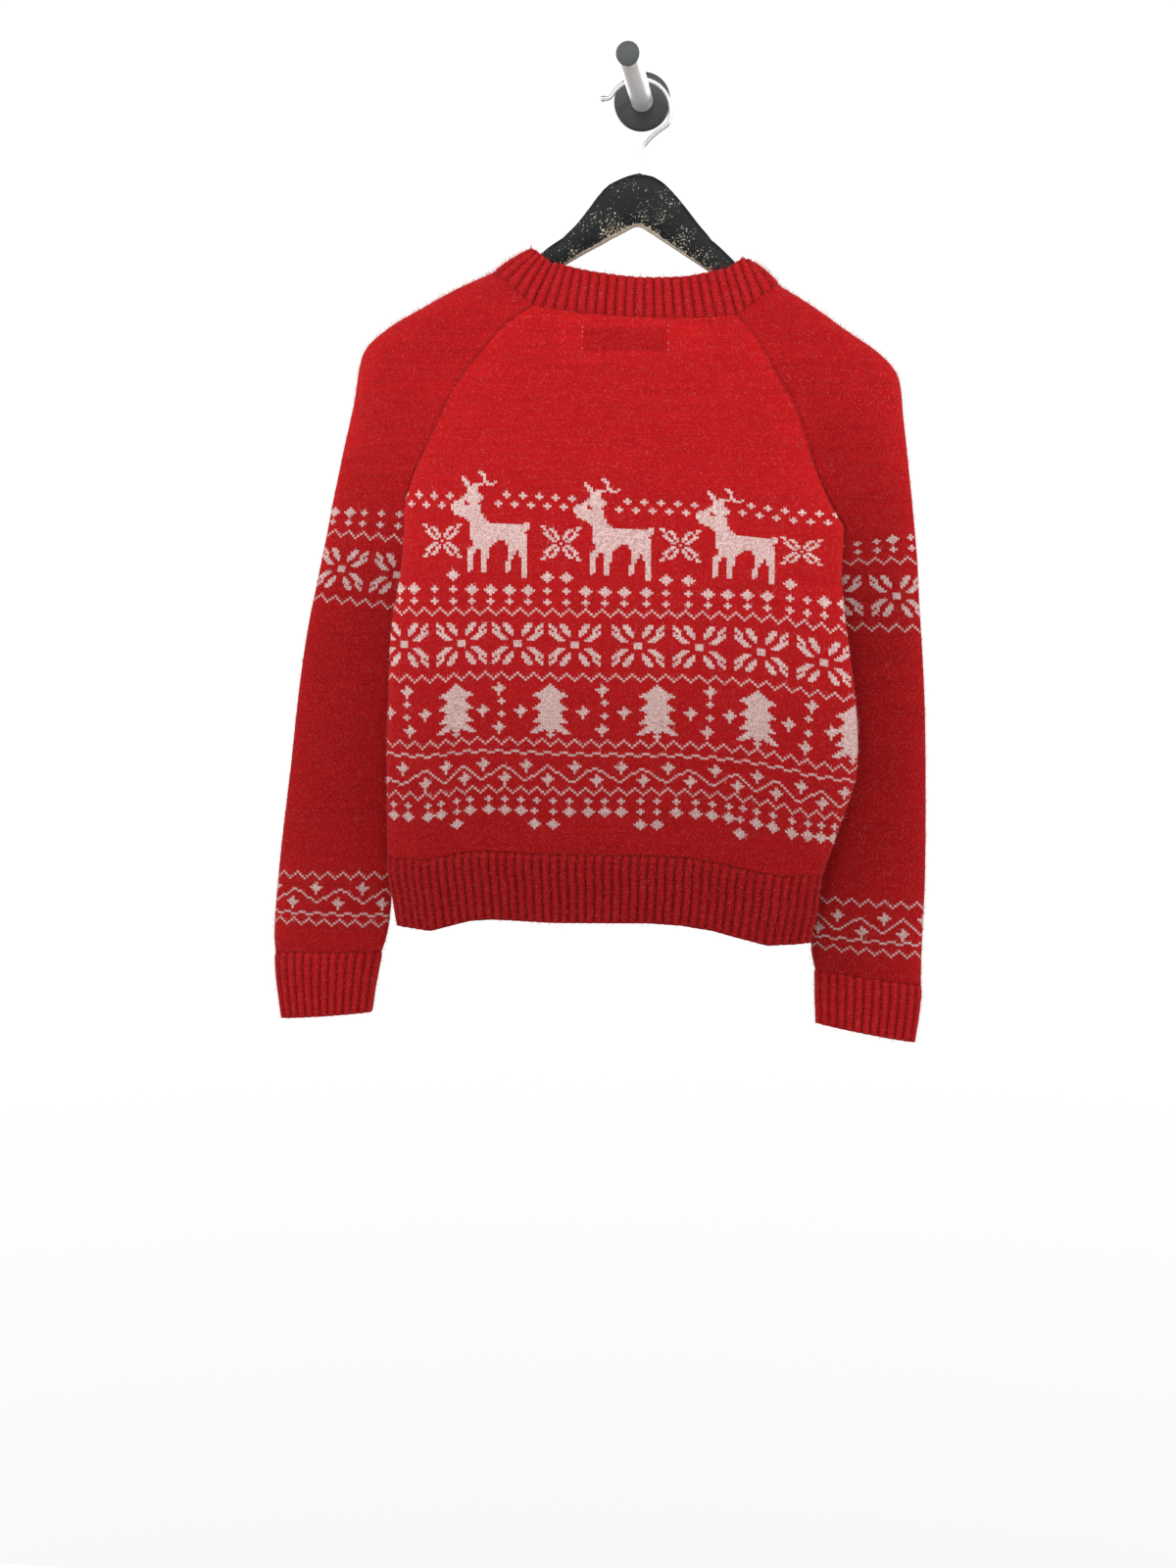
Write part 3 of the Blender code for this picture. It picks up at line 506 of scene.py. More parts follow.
sleeveRows = {  # rows of the bands; columns of the flowers and of the big zigzag's corners
    "left": {
        "stars": 211, "crosses": 206, "above": 199, "flowers": 184, "under": 168, "small": 36, "big": 25,
        "dots": 19, "foot": 14, "flowerAt": (15, 37, 59, 80), "bigStars": (5, 6, 9, 10, 13, 14),
        "cornerAt": (-5, 3, 11, 20, 29, 38, 46, 55, 64, 73, 82, 90, 98),
    },
    "right": {
        "stars": 205, "crosses": 200, "above": 193, "flowers": 178, "under": 162, "small": 35, "big": 23,
        "dots": 18, "foot": 12, "flowerAt": (16, 38, 60, 81), "bigStars": (2, 5, 8, 11),
        "cornerAt": (-1, 7, 14.5, 23, 31, 38.5, 46, 54, 63, 72, 81, 90, 98),
    },
}
starsAcross = [4.8 + 6.7 * k for k in range(16)]  # columns


def sleeveChart(columns, rows, plan):
    chart = np.zeros((rows, columns), np.float32)
    for k, x in enumerate(starsAcross):
        put(chart, "star" if k in plan["bigStars"] else "cross", plan["stars"], x)
        put(chart, "cross", plan["crosses"], x)
    for row in ("above", "under", "small", "foot"):
        zigzag(chart, plan[row], 1.0)
    for x in plan["flowerAt"]:
        put(chart, "flower", plan["flowers"], x)
    rise = 7  # height of the big zigzag; a small motif stands in each of its bays
    bigZigzag(chart, [(x, plan["big"] + rise * (k % 2)) for k, x in enumerate(plan["cornerAt"])])
    for k, x in enumerate(plan["cornerAt"]):
        put(chart, "tall", plan["big"] + rise * (1 - k % 2), x)
    dottedLine(chart, plan["dots"])
    return soften(chart)


# cloth meshes; every surface takes a level and the shares of its width, and gives points in mm

knit = {
    "stitch": 2.385, "row": 1.9, "thick": 2.2,  # one stitch across, one row up and the wall, mm
    "vee": 0.42,  # how far a stitch's middle sits below its arms, in rows
    "seamShade": 0.10, "seamShadeWidth": 1.2,  # painted shade where the cloth turns in along a raglan seam
    "sleeveTop": 150.0,  # mean width of a sleeve above the underarm, mm
    "calmRows": 6, "calmEdge": 60,  # the drape dies out over these rows and this part of the width
    "insideRows": (34, 22), "insideColumns": 49, "insideRound": 61, "insideTone": 0.8,
}


def drape(points):  # slow unevenness of a hung knit
    x, z = points[:, 0] * 0.011, points[:, 2] * 0.011
    return 0.8 * np.sin(2.3 * x + 1.1 * z + 0.7) * np.cos(1.3 * z - 0.9 * x) + 0.45 * np.sin(5.1 * x - 2.2 * z + 2.0)


def zipLoops(outer, inner, points):
    # triangles between two loops with different numbers of points, kept level with each other
    def places(loop):
        lengths = np.linalg.norm(np.diff(points[loop], axis=0), axis=1)
        return np.concatenate([[0], np.cumsum(lengths)]) / max(lengths.sum(), 1e-12)

    faces = []
    first, second = places(outer), places(inner)
    i = j = 0
    while i < len(outer) - 1 or j < len(inner) - 1:
        if j == len(inner) - 1 or (i < len(outer) - 1 and first[i + 1] <= second[j + 1]):
            faces.append((outer[i], inner[j], outer[i + 1]))
            i += 1
        else:
            faces.append((outer[i], inner[j], inner[j + 1]))
            j += 1
    return faces


def meshObject(name, points, blocks, uv, paintedShadeAndTone, motif, outside):
    # a block is an array with a row of point numbers for each face; the painted light and shade is by point, motif
    # and outside by face
    mesh = bpy.data.meshes.new(name)
    counts = np.concatenate([np.full(len(block), block.shape[1], np.int32) for block in blocks])
    loops = np.concatenate([block.ravel() for block in blocks]).astype(np.int32)
    mesh.vertices.add(len(points))
    mesh.vertices.foreach_set("co", (points * mm).astype(np.float32).ravel())
    mesh.loops.add(len(loops))
    mesh.loops.foreach_set("vertex_index", loops)
    mesh.polygons.add(len(counts))
    mesh.polygons.foreach_set("loop_start", np.concatenate([[0], np.cumsum(counts)[:-1]]).astype(np.int32))
    mesh.polygons.foreach_set("use_smooth", np.ones(len(counts), bool))
    mesh.uv_layers.new(name="stitches").data.foreach_set("uv", uv[loops].astype(np.float32).ravel())
    mesh.attributes.new("paintedShadeAndTone", "FLOAT", "POINT").data.foreach_set("value", paintedShadeAndTone.astype(np.float32))
    for key, values in (("motif", motif), ("outside", outside)):
        byFace = np.zeros(len(counts), np.float32)
        byFace[:len(values)] = values
        mesh.attributes.new(key, "FLOAT", "FACE").data.foreach_set("value", byFace)
    mesh.update(calc_edges=True)
    mesh.validate()
    return linkObject(name, mesh)


def isTube(spec, level):
    return spec["tube"] and level <= 2.0 + 1e-9


def knitRow(spec, k):
    # two points a stitch, the odd ones dropped, so that each stitch is a V
    surface, levels, shares = spec["surface"], spec["levels"], spec["shares"]
    level, last = levels[k], len(levels) - 1
    share = shares(level)
    row = surface(level, share)
    if "droop" in spec:
        fiveUnder = surface(levels[max(k - 5, 0)], share)
        row = row + (fiveUnder - row) * (spec["droop"](k, share) / 5.0)[:, None]
    if 0 < k < last:
        odd = np.arange(len(share)) % 2 == 1
        inside = (share > 0) & (share < 1)
        under = level - knit["vee"] * (levels[k + 1] - levels[k - 1]) / 2
        dropped = row + surface(under, shares(under)) - surface(level, share)
        row = np.where((odd & inside)[:, None], dropped, row)
    lift = drape(row)
    if "raise" in spec:
        lift = lift + spec["raise"](row)
    edge = 1.0 if isTube(spec, level) else np.clip(np.minimum(share, 1 - share) * knit["calmEdge"], 0, 1)
    lift = lift * edge * min(1.0, (last - k) / knit["calmRows"], k / knit["calmRows"])
    return share, row + normalRow(surface, level, share, spec["sign"]) * lift[:, None]


def knitShade(spec, level, share, row):
    shade = spec["paintedShadeAndTone"](row) if "paintedShadeAndTone" in spec else np.ones(len(share))
    # painted shade along the raglan seams
    if level > 2:
        across = knit["sleeveTop"] if spec["tube"] else np.linalg.norm(row[-1] - row[0])
        fromSeam = np.minimum(share, 1 - share) * across
        shade = shade * (1 - knit["seamShade"] * np.exp(-(fromSeam / knit["seamShadeWidth"]) ** 2))
    return shade


def knitSkin(spec):
    # the outer skin, its columns running out along the slanted edges
    levels, columns = spec["levels"], 2 * spec["stitches"] + 1
    index = np.zeros((len(levels), columns), np.int64)
    points, uv, paintedShadeAndTone = [], [], []
    total = 0
    for k, level in enumerate(levels):
        share, row = knitRow(spec, k)
        first = max(int(np.argmax(share > 0)) - 1, 0) if share[0] <= 0 else 0
        last = min(columns - int(np.argmax(share[::-1] < 1)), columns - 1) if share[-1] >= 1 else columns - 1
        welded = isTube(spec, level)
        keep = np.arange(first, last if welded else last + 1)
        index[k, keep] = total + np.arange(len(keep))
        index[k, :first] = index[k, first]
        index[k, last:] = index[k, first if welded else last]
        points.append(row[keep])
        uv.append(np.column_stack([keep / 2, np.full(len(keep), float(k))]))
        paintedShadeAndTone.append(knitShade(spec, level, share, row)[keep])
        total += len(keep)
    return index, np.vstack(points), np.vstack(uv), np.concatenate(paintedShadeAndTone)


def plainInside(spec, total):
    # a coarser sheet one thickness in; its point numbers start at total
    surface, levels, (low, high) = spec["surface"], spec["levels"], knit["insideRows"]
    inLevels = np.unique(np.concatenate([np.linspace(levels[0], 2.0, low), np.linspace(2.0, levels[-1], high)]))
    if spec["tube"]:
        inShares = np.linspace(0, 1, knit["insideRound"])
    else:
        inShares = (1 - np.cos(np.linspace(0, math.pi, knit["insideColumns"]))) / 2
    index = np.zeros((len(inLevels), len(inShares)), np.int64)
    points = []
    for k, level in enumerate(inLevels):
        row = surface(level, inShares) - normalRow(surface, level, inShares, spec["sign"]) * knit["thick"]
        count = len(inShares) - (1 if isTube(spec, level) else 0)
        index[k, :count] = total + np.arange(count)
        if isTube(spec, level):
            index[k, -1] = index[k, 0]
        points.append(row[:count])
        total += count
    return index, points, inLevels


def edgeLoops(spec, index, levels):
    # the loops of points along a sheet's rims, without repeats
    upper = index[int(np.sum(levels <= 2.0 + 1e-9)) - 1:] if spec["tube"] else index[1:]
    upAndBack = [upper[:, -1], upper[-1, ::-1][1:], upper[::-1, 0][1:]]
    if spec["tube"]:
        loops = [index[0], np.concatenate(upAndBack)]
    else:
        loops = [np.concatenate([index[0]] + upAndBack + [index[:1, 0]])]
    return [loop[np.concatenate([[True], loop[1:] != loop[:-1]])] for loop in loops]


def clothPiece(spec):
    index, points, uv, paintedShadeAndTone = knitSkin(spec)
    cells = gridCells(index)
    if spec["sign"] < 0:
        cells = cells[:, ::-1]
    white = np.repeat(spec["chart"][:len(index) - 1, :spec["stitches"]], 2, axis=1).ravel()
    same = (cells == np.roll(cells, 1, axis=1)).sum(1)  # a cell at a slanted edge folds into a triangle, or away
    quads, bent = cells[same == 0], cells[same == 1]
    triangles = np.array([[v for n, v in enumerate(q) if v != q[n - 1]] for q in bent], int).reshape(-1, 3)
    motif = np.concatenate([white[same == 0], white[same == 1]])

    inIndex, inPoints, inLevels = plainInside(spec, len(points))
    inCells = gridCells(inIndex, turned=True)
    skinPoints = len(points)
    points = np.vstack([points] + inPoints)
    rim = []
    for first, second in zip(edgeLoops(spec, index, spec["levels"]), edgeLoops(spec, inIndex, inLevels)):
        rim += zipLoops(first, second, points)
    rim = np.array(rim)
    if spec["sign"] < 0:
        inCells, rim = inCells[:, ::-1], rim[:, ::-1]
    hidden = len(points) - skinPoints
    uv = np.vstack([uv, np.zeros((hidden, 2))])
    paintedShadeAndTone = np.concatenate([paintedShadeAndTone, np.full(hidden, knit["insideTone"])])
    made = meshObject(spec["name"], points, [quads, triangles, inCells, rim], uv, paintedShadeAndTone, motif, np.ones(len(motif)))
    made.data.materials.append(feltedKnit)
    print("cloth", spec["name"], len(made.data.polygons), "faces")
    return made


def evenLevels(surface, low, high):
    # levels one row apart, measured up the middle of a surface
    trial = np.linspace(low, high, 400)
    line = np.array([surface(level, np.array([0.5]))[0] for level in trial])
    climbed = runLength(line)
    count = int(round(climbed[-1] / knit["row"]))
    return np.interp(np.linspace(0, climbed[-1], count + 1), climbed, trial)


# the wool

wool = {
    "red": "#bf181c", "redDeep": "#a61216", "redPale": "#e58a84", "white": "#f1d6d2", "whiteShade": "#bd8581",
    "ribRed": "#c21c21", "ribDeep": "#ac161a",
    "fibreSize": 560.0,  # noise cells a metre, about 1.8 mm
    "feltSize": 110.0,  # soft mottling, about 9 mm
    "streakSize": (14.0, 14.0, 420.0),  # yarn a little deeper or paler along a row
    "palest": 0.42,  # how far the pale nap covers the red
    "furrow": 0.84,  # shade between two stitches
    "stitchHeight": 0.5 * mm,
    "shader": {
        "Roughness": 0.95, "Specular IOR Level": 0.06, "Sheen Weight": 0.36, "Sheen Roughness": 0.32,
        "Sheen Tint": (1.0, 0.16, 0.16, 1.0),
    },
}


def knitMaterial(name, redHex, deepHex):
    # lambswool-type knit, washed until it felts: matt, with a pale nap that softens every stitch
    made, tree, shader = newMaterial(name, wool["shader"])
    place = addNode(tree, "ShaderNodeTexCoord").outputs["Object"]
    motif = addNode(tree, "ShaderNodeAttribute", {"attribute_name": "motif"})
    paintedShadeAndTone = addNode(tree, "ShaderNodeAttribute", {"attribute_name": "paintedShadeAndTone"})
    fibres = addNode(tree, "ShaderNodeTexNoise", values={
        "Scale": wool["fibreSize"], "Detail": 4.0, "Roughness": 0.7}, links={"Vector": place})
    felt = addNode(tree, "ShaderNodeTexNoise", values={
        "Scale": wool["feltSize"], "Detail": 5.0, "Roughness": 0.65}, links={"Vector": place})
    # a loop stands out in the middle of each arm of a stitch and of each row
    mapUv = addNode(tree, "ShaderNodeUVMap", {"uv_map": "stitches"})
    split = addNode(tree, "ShaderNodeSeparateXYZ", links={"Vector": mapUv.outputs["UV"]})
    waves = []
    for axis, turn in (("X", 2 * math.pi), ("Y", math.pi)):
        angle = addNode(tree, "ShaderNodeMath", {"operation": "MULTIPLY"}, {1: turn}, {0: split.outputs[axis]})
        wave = addNode(tree, "ShaderNodeMath", {"operation": "SINE"}, links={0: angle.outputs[0]})
        waves.append(addNode(tree, "ShaderNodeMath", {"operation": "ABSOLUTE"}, links={0: wave.outputs[0]}))
    arm, rowRise = waves
    loop = addNode(tree, "ShaderNodeMath", {"operation": "MULTIPLY"}, links={
        0: arm.outputs[0], 1: rowRise.outputs[0]})
    streakPlace = addNode(tree, "ShaderNodeMapping", values={"Scale": wool["streakSize"]}, links={"Vector": place})
    streak = addNode(tree, "ShaderNodeTexNoise", values={"Scale": 1.0, "Detail": 2.0}, links={
        "Vector": streakPlace.outputs[0]})
    cloud = addNode(tree, "ShaderNodeMath", {"operation": "ADD"}, links={
        0: felt.outputs["Fac"], 1: streak.outputs["Fac"]})
    redFac = addNode(tree, "ShaderNodeMapRange", values={"From Min": 0.45, "From Max": 1.25}, links={
        "Value": cloud.outputs[0]})
    redMix = addNode(tree, "ShaderNodeMix", {"data_type": "RGBA"}, {6: rgb(deepHex), 7: rgb(redHex)}, {
        "Factor": redFac.outputs[0]})
    paleFac = addNode(tree, "ShaderNodeMapRange", values={
        "From Min": 0.55, "From Max": 0.80, "To Max": wool["palest"]}, links={"Value": fibres.outputs["Fac"]})
    withPale = addNode(tree, "ShaderNodeMix", {"data_type": "RGBA"}, {7: rgb(wool["redPale"])}, {
        "Factor": paleFac.outputs[0], 6: redMix.outputs[2]})
    whiteFac = addNode(tree, "ShaderNodeMapRange", values={"From Min": 0.34, "From Max": 0.60}, links={
        "Value": fibres.outputs["Fac"]})
    whiteMix = addNode(tree, "ShaderNodeMix", {"data_type": "RGBA"}, {
        6: rgb(wool["whiteShade"]), 7: rgb(wool["white"])}, {"Factor": whiteFac.outputs[0]})
    both = addNode(tree, "ShaderNodeMix", {"data_type": "RGBA"}, links={
        "Factor": motif.outputs["Fac"], 6: withPale.outputs[2], 7: whiteMix.outputs[2]})
    shade = addNode(tree, "ShaderNodeMapRange", values={
        "From Min": 0.0, "From Max": 0.5, "To Min": wool["furrow"], "To Max": 1.0}, links={"Value": loop.outputs[0]})
    # painted shade: the mesh's painted light and shade darkens or lightens the knit's colour
    toned = addNode(tree, "ShaderNodeMath", {"operation": "MULTIPLY"}, links={
        0: shade.outputs[0], 1: paintedShadeAndTone.outputs["Fac"]})
    final = addNode(tree, "ShaderNodeVectorMath", {"operation": "SCALE"}, links={
        0: both.outputs[2], "Scale": toned.outputs[0]})
    tree.links.new(final.outputs["Vector"], shader.inputs["Base Color"])
    height = addNode(tree, "ShaderNodeMath", {"operation": "MULTIPLY_ADD"}, {1: 0.8}, {
        0: fibres.outputs["Fac"], 2: loop.outputs[0]})
    relief = addNode(tree, "ShaderNodeBump", values={"Strength": 0.7, "Distance": wool["stitchHeight"]}, links={
        "Height": height.outputs[0]})
    tree.links.new(relief.outputs["Normal"], shader.inputs["Normal"])
    return made


feltedKnit = knitMaterial("felted_wool_knit", wool["red"], wool["redDeep"])
ribKnit = knitMaterial("felted_wool_rib", wool["ribRed"], wool["ribDeep"])
print("wool materials made")

# the camera

view = {
    "lens": 38.565, "sensor": 36, "clip": (0.01, 100),
    "place": (0.1430, -1.5, -0.4568), "yaw": 7.2517, "pitch": 5.2005,  # metres, degrees to the left and down
}
camera = bpy.data.cameras.new("camera")
camera.lens, camera.sensor_width = view["lens"], view["sensor"]
camera.clip_start, camera.clip_end = view["clip"]
cameraObject = linkObject("camera", camera)
cameraObject.location = view["place"]
yaw, pitch = math.radians(view["yaw"]), math.radians(view["pitch"])
forward = Vector((-math.sin(yaw) * math.cos(pitch), math.cos(yaw) * math.cos(pitch), -math.sin(pitch)))
cameraObject.rotation_euler = forward.to_track_quat("-Z", "Y").to_euler()
bpy.context.scene.camera = cameraObject
print("camera placed")

# body panels

body = {
    "stitches": 180, "chartRows": 260, "middleX": 2.0,
    "left": -4.0, "middleColumn": 93.0,  # the chart's column at the first stitch, and the one at middleX
    "paintedRimLight": 0.12, "edgePower": 9,  # painted rim light, paler toward the edges
    "droopRows": (0, 15, 112, 134), "droopFade": (0, 1, 1, 0),  # rows near the right edge hang lower
    "droopAt": (0.80, 0.87, 0.90, 0.95, 1.0), "droopBy": (0, 0.8, 1.8, 3.2, 4.8),  # as the hem flares
}
label = {
    "box": (-45.0, 26.0, -219.0, -199.0),  # left, right, foot, top
    "raised": (-46, 27, -219, -196), "lift": 0.5, "slope": 3.0,  # how the back stands out over it
    "shade": 0.80,  # tone of the cloth over it
    "paintedGlow": 0.10, "paintedGlowPast": (29, 40, 17), "paintedGlowFade": (12, 18),  # painted light, paler round it, to the left, right and foot
    "thick": 0.7, "columns": 72, "rows": 21, "inside": 2.55,
    "foldRise": 0.35, "foldOver": 2.5, "foldWidth": 4.0, "foldShare": 0.8,  # ends turned under
    "flat": (0.071, 0.020),
}
paintedShadeRamps = {  # painted light and shade: an amount, how far under the peg it starts to set in, and over how many mm
    "hem": (0.34, 330, 330), "sleeve": (0.26, 250, 220),  # painted shade: the cloth darker downward, where less light reaches
    "cuff": (0.04, 640, 60),  # painted light: paler again over the cuffs
    "rightArm": (0.20, 210, 90),  # the right arm hangs in the body's shade
}


def settingIn(z, plan):
    amount, start, over = plan
    return amount * ease((-z - start) / over)


def acrossRow(x):  # 0 at a row's left end, 1 at its right end
    return (x - x.min()) / (x.max() - x.min())


def paintedRimLight(across, plan):
    # painted rim light: paler toward a row's two ends
    return plan["paintedRimLight"] * np.abs(2 * across - 1) ** plan["edgePower"]


def panelShares(raglan):
    def shares(level):
        leftX, rightX = panelEdges(level, raglan)
        place = body["left"] + np.arange(2 * body["stitches"] + 1) / 2
        x = body["middleX"] + (place - body["middleColumn"]) * knit["stitch"]
        return np.clip((x - leftX) / (rightX - leftX), 0.0, 1.0)
    return shares


def backPaintedLight(points):
    x, z = points[:, 0], points[:, 2]
    left, right, foot, top = label["box"]
    inLabel = (x > left) & (x < right) & (z < top) & (z > foot)
    pastLeft, pastRight, pastFoot = label["paintedGlowPast"]
    fadeX, fadeZ = label["paintedGlowFade"]
    # painted light round the label, up to the neck
    near = ease((z - foot + pastFoot) / fadeZ)
    near = near * ease((x - left + pastLeft) / fadeX) * ease((right + pastRight - x) / fadeX)
    # painted shade darker toward the hem, painted light round the label, and painted rim light at the edges
    paintedShadeAndTone = 1.0 - settingIn(z, paintedShadeRamps["hem"]) + label["paintedGlow"] * near
    paintedShadeAndTone = np.where(inLabel, paintedShadeAndTone * label["shade"], paintedShadeAndTone)
    return paintedShadeAndTone * (1 + paintedRimLight(acrossRow(x), body))


def bodyDroop(k, share):
    return np.interp(k, body["droopRows"], body["droopFade"]) * np.interp(share, body["droopAt"], body["droopBy"])


def labelRaise(row):
    x, z = row[:, 0], row[:, 2]
    left, right, foot, top = label["raised"]
    fromEdge = np.minimum(np.minimum(x - left, right - x), np.minimum(z - foot, top - z))
    return label["lift"] * ease(fromEdge / label["slope"])


backChart = bodyChart(body["stitches"], body["chartRows"], body["left"])
back = clothPiece({
    "name": "knit_back", "surface": backSurface, "levels": evenLevels(backSurface, 1.0, 3.0), "sign": 1,
    "stitches": body["stitches"], "shares": panelShares(backRaglan), "chart": backChart, "tube": False,
    "paintedShadeAndTone": backPaintedLight, "raise": labelRaise, "droop": bodyDroop,
})
front = clothPiece({
    "name": "knit_front", "surface": frontSurface, "levels": evenLevels(frontSurface, 1.0, 3.0), "sign": -1,
    "stitches": body["stitches"], "shares": panelShares(frontRaglan), "chart": backChart[:, ::-1], "tube": False,
})

# sleeves

# the sleeve's tone, middle shade and edge gain are painted light and shade
sleeve = {
    "stitches": 96, "chartRows": 400, "paintedShadeAndTone": 0.96, "paintedMiddleShade": 0.95, "paintedRimLight": 0.20, "edgePower": 4,
    "droopRows": (0, 90, 150, 200, 230), "droopFade": (0, 0, 1, 1, 0), "droopBy": 2.2,
}


def arcShares(surface, count):
    # stitches one pitch apart along the cloth, the middle one at the arm's outer side
    dense = np.linspace(0, 1, 241)

    def shares(level):
        gone = runLength(surface(level, dense))
        wanted = gone[len(dense) // 2] + (np.arange(2 * count + 1) / 2 - count / 2) * knit["stitch"]
        return np.interp(wanted, gone, dense)
    return shares


def sleevePaintedLight(points):
    # painted shade: darker downward and across the middle of the arm, the right arm darker by the body; painted
    # light: paler over the cuffs and at both edges
    x, z = points[:, 0], points[:, 2]
    across = acrossRow(x)
    down = sleeve["paintedShadeAndTone"] - settingIn(z, paintedShadeRamps["sleeve"]) + settingIn(z, paintedShadeRamps["cuff"])
    if x.min() > 0:
        down = down * (1 - settingIn(z, paintedShadeRamps["rightArm"]) * (1 - across))
    return down * (sleeve["paintedMiddleShade"] + paintedRimLight(across, sleeve))


def sleeveDroop(k, share):
    # rows run square to the slanted arm, so they drop toward the body at the chest and level out below
    fade = np.interp(k, sleeve["droopRows"], sleeve["droopFade"])
    return fade * sleeve["droopBy"] * np.cos(2 * math.pi * share)


sleeveObjects = {}
for side, sign, extra in (("left", -1, {"droop": sleeveDroop}), ("right", 1, {})):
    surface = sleeveSurface(side)
    levels = np.concatenate([evenLevels(surface, 1.0, 2.0), evenLevels(surface, 2.0, 3.0)[1:]])
    sleeveObjects[side] = clothPiece({
        "name": "knit_sleeve_" + side, "surface": surface, "levels": levels, "sign": sign, "tube": True,
        "stitches": sleeve["stitches"], "shares": arcShares(surface, sleeve["stitches"]), "paintedShadeAndTone": sleevePaintedLight,
        "chart": sleeveChart(sleeve["stitches"], sleeve["chartRows"], sleeveRows[side]), **extra,
    })

# ribs

rib = {
    "perRib": 8, "thick": 2.2, "levels": 15, "top": 1.003,  # the hem and cuffs end just over level 1
    # each rib's painted shade, darkest at the hem, which hangs lowest
    "hem": {"count": 51, "height": 1.5, "paintedShadeAndTone": 0.60}, "cuff": {"count": 26, "height": 1.4, "paintedShadeAndTone": 0.80},
    "band": {"count": 70, "height": 1.4, "paintedShadeAndTone": 0.88},
    "wobble": 0.10, "tucked": 0.6,  # unevenness of the ridges, and how far the joined edge goes under
    "furrow": 0.36, "insideTone": 0.75,  # painted shade in the furrows between the ridges, and the tone inside
}


def ribProfile(phase):
    return np.abs(np.sin(math.pi * phase)) ** 0.6


def evenColumns(rows, places):
    old = np.arange(rows.shape[1])
    even = [[np.interp(places, old, row[:, axis]) for axis in range(3)] for row in rows]
    return np.stack(even).transpose(0, 2, 1)


def ribPiece(name, rows, normals, plan, closed, joinedAtFoot=False):
    # rows and normals are grids from the free edge up; each rib is a rounded ridge between sharp furrows
    count, total = plan["count"] * rib["perRib"] + 1, len(rows)
    gone = runLength(rows[total // 2])
    places = np.interp(np.linspace(0, gone[-1], count), gone, np.arange(rows.shape[1]))
    grid, normal = evenColumns(rows, places), evenColumns(normals, places)
    normal /= np.linalg.norm(normal, axis=2, keepdims=True)
    phase = np.arange(count) / rib["perRib"]
    wobble = rib["wobble"] * np.sin(np.arange(total)[:, None] * 0.9 + np.floor(phase)[None, :] * 2.4)
    fromJoin = np.arange(total) if joinedAtFoot else total - 1 - np.arange(total)
    free = np.clip(fromJoin, 0, 1)[:, None]
    rise = (plan["height"] * ribProfile(phase)[None, :] + wobble) * free - rib["tucked"] * (1 - free)
    outside = grid + normal * rise[..., None]
    inside = grid - normal * rib["thick"]
    columns = count - 1 if closed else count
    index = np.arange(total * columns).reshape(total, columns)
    if closed:
        index = np.hstack([index, index[:, :1]])
    blocks = slabFaces(index, index + total * columns, closed)
    points = np.vstack([outside[:, :columns].reshape(-1, 3), inside[:, :columns].reshape(-1, 3)])
    u = np.tile(np.arange(columns) / rib["perRib"] + 0.25, total)
    uv = np.vstack([np.column_stack([u, np.repeat(np.arange(total), columns)])] * 2)
    # painted shade: darker in the furrows between the ridges
    shade = rib["furrow"] + (1 - rib["furrow"]) * ribProfile(phase)[:columns] ** 0.9
    paintedShadeAndTone = np.concatenate([np.tile(shade, total) * plan["paintedShadeAndTone"], np.full(total * columns, rib["insideTone"])])
    made = meshObject(name, points, blocks, uv, paintedShadeAndTone, np.zeros(1), np.ones(len(blocks[0])))
    made.data.materials.append(ribKnit)
    print("rib", name, len(made.data.polygons), "faces")
    return made


def surfaceRows(surface, shares, sign):
    # the columns' order keeps the outer side outward, whichever way the surface turns
    levels = np.linspace(0, rib["top"], rib["levels"])
    rows = np.array([surface(level, shares)[::sign] for level in levels])
    normals = np.array([normalRow(surface, level, shares, sign)[::sign] for level in levels])
    return rows, normals


hemShares = (1 - np.cos(np.linspace(0, math.pi, 161))) / 2
ribObjects = {
    "hem_back": ribPiece("rib_hem_back", *surfaceRows(backSurface, hemShares, 1), rib["hem"], False),
    "hem_front": ribPiece("rib_hem_front", *surfaceRows(frontSurface, hemShares, -1), rib["hem"], False),
}
for side, sign in (("left", -1), ("right", 1)):
    rows, normals = surfaceRows(sleeveSurface(side), np.linspace(0, 1, 161), sign)
    ribObjects["cuff_" + side] = ribPiece("rib_cuff_" + side, rows, normals, rib["cuff"], True)

# neckband: a ring on the neck seam that leans in and round the neck

band = {
    "rows": 14, "foot": -0.02, "belly": 1.6,  # it starts just under the seam and swells outward
    "smooth": 25,  # points over which the seam's normals are averaged
    "lean": (0.42, 0.2), "middleY": -28.0,  # shares of the way to middleY that the top edge leans, back and front
}
ringShares = np.linspace(0, 1, 81)
quarters = [
    (backSurface, ringShares, 1), (sleeveSurface("right"), ringShares, 1),
    (frontSurface, ringShares[::-1], -1), (sleeveSurface("left"), ringShares[::-1], -1),
]
neckSeam = np.vstack([surface(3.0, shares)[:-1] for surface, shares, sign in quarters])
neckNormal = np.vstack([normalRow(surface, 3.0, shares, sign)[:-1] for surface, shares, sign in quarters])
neckSeam, neckNormal = np.vstack([neckSeam, neckSeam[:1]]), np.vstack([neckNormal, neckNormal[:1]])
reach = band["smooth"] // 2
wrapped = np.vstack([neckNormal[-reach - 1:-1], neckNormal, neckNormal[1:reach + 1]])
average = np.ones(band["smooth"]) / band["smooth"]
smoothNormal = np.array([np.convolve(wrapped[:, axis], average, "valid") for axis in range(3)]).T
neckX, neckY = neckSeam[:, 0], neckSeam[:, 1]
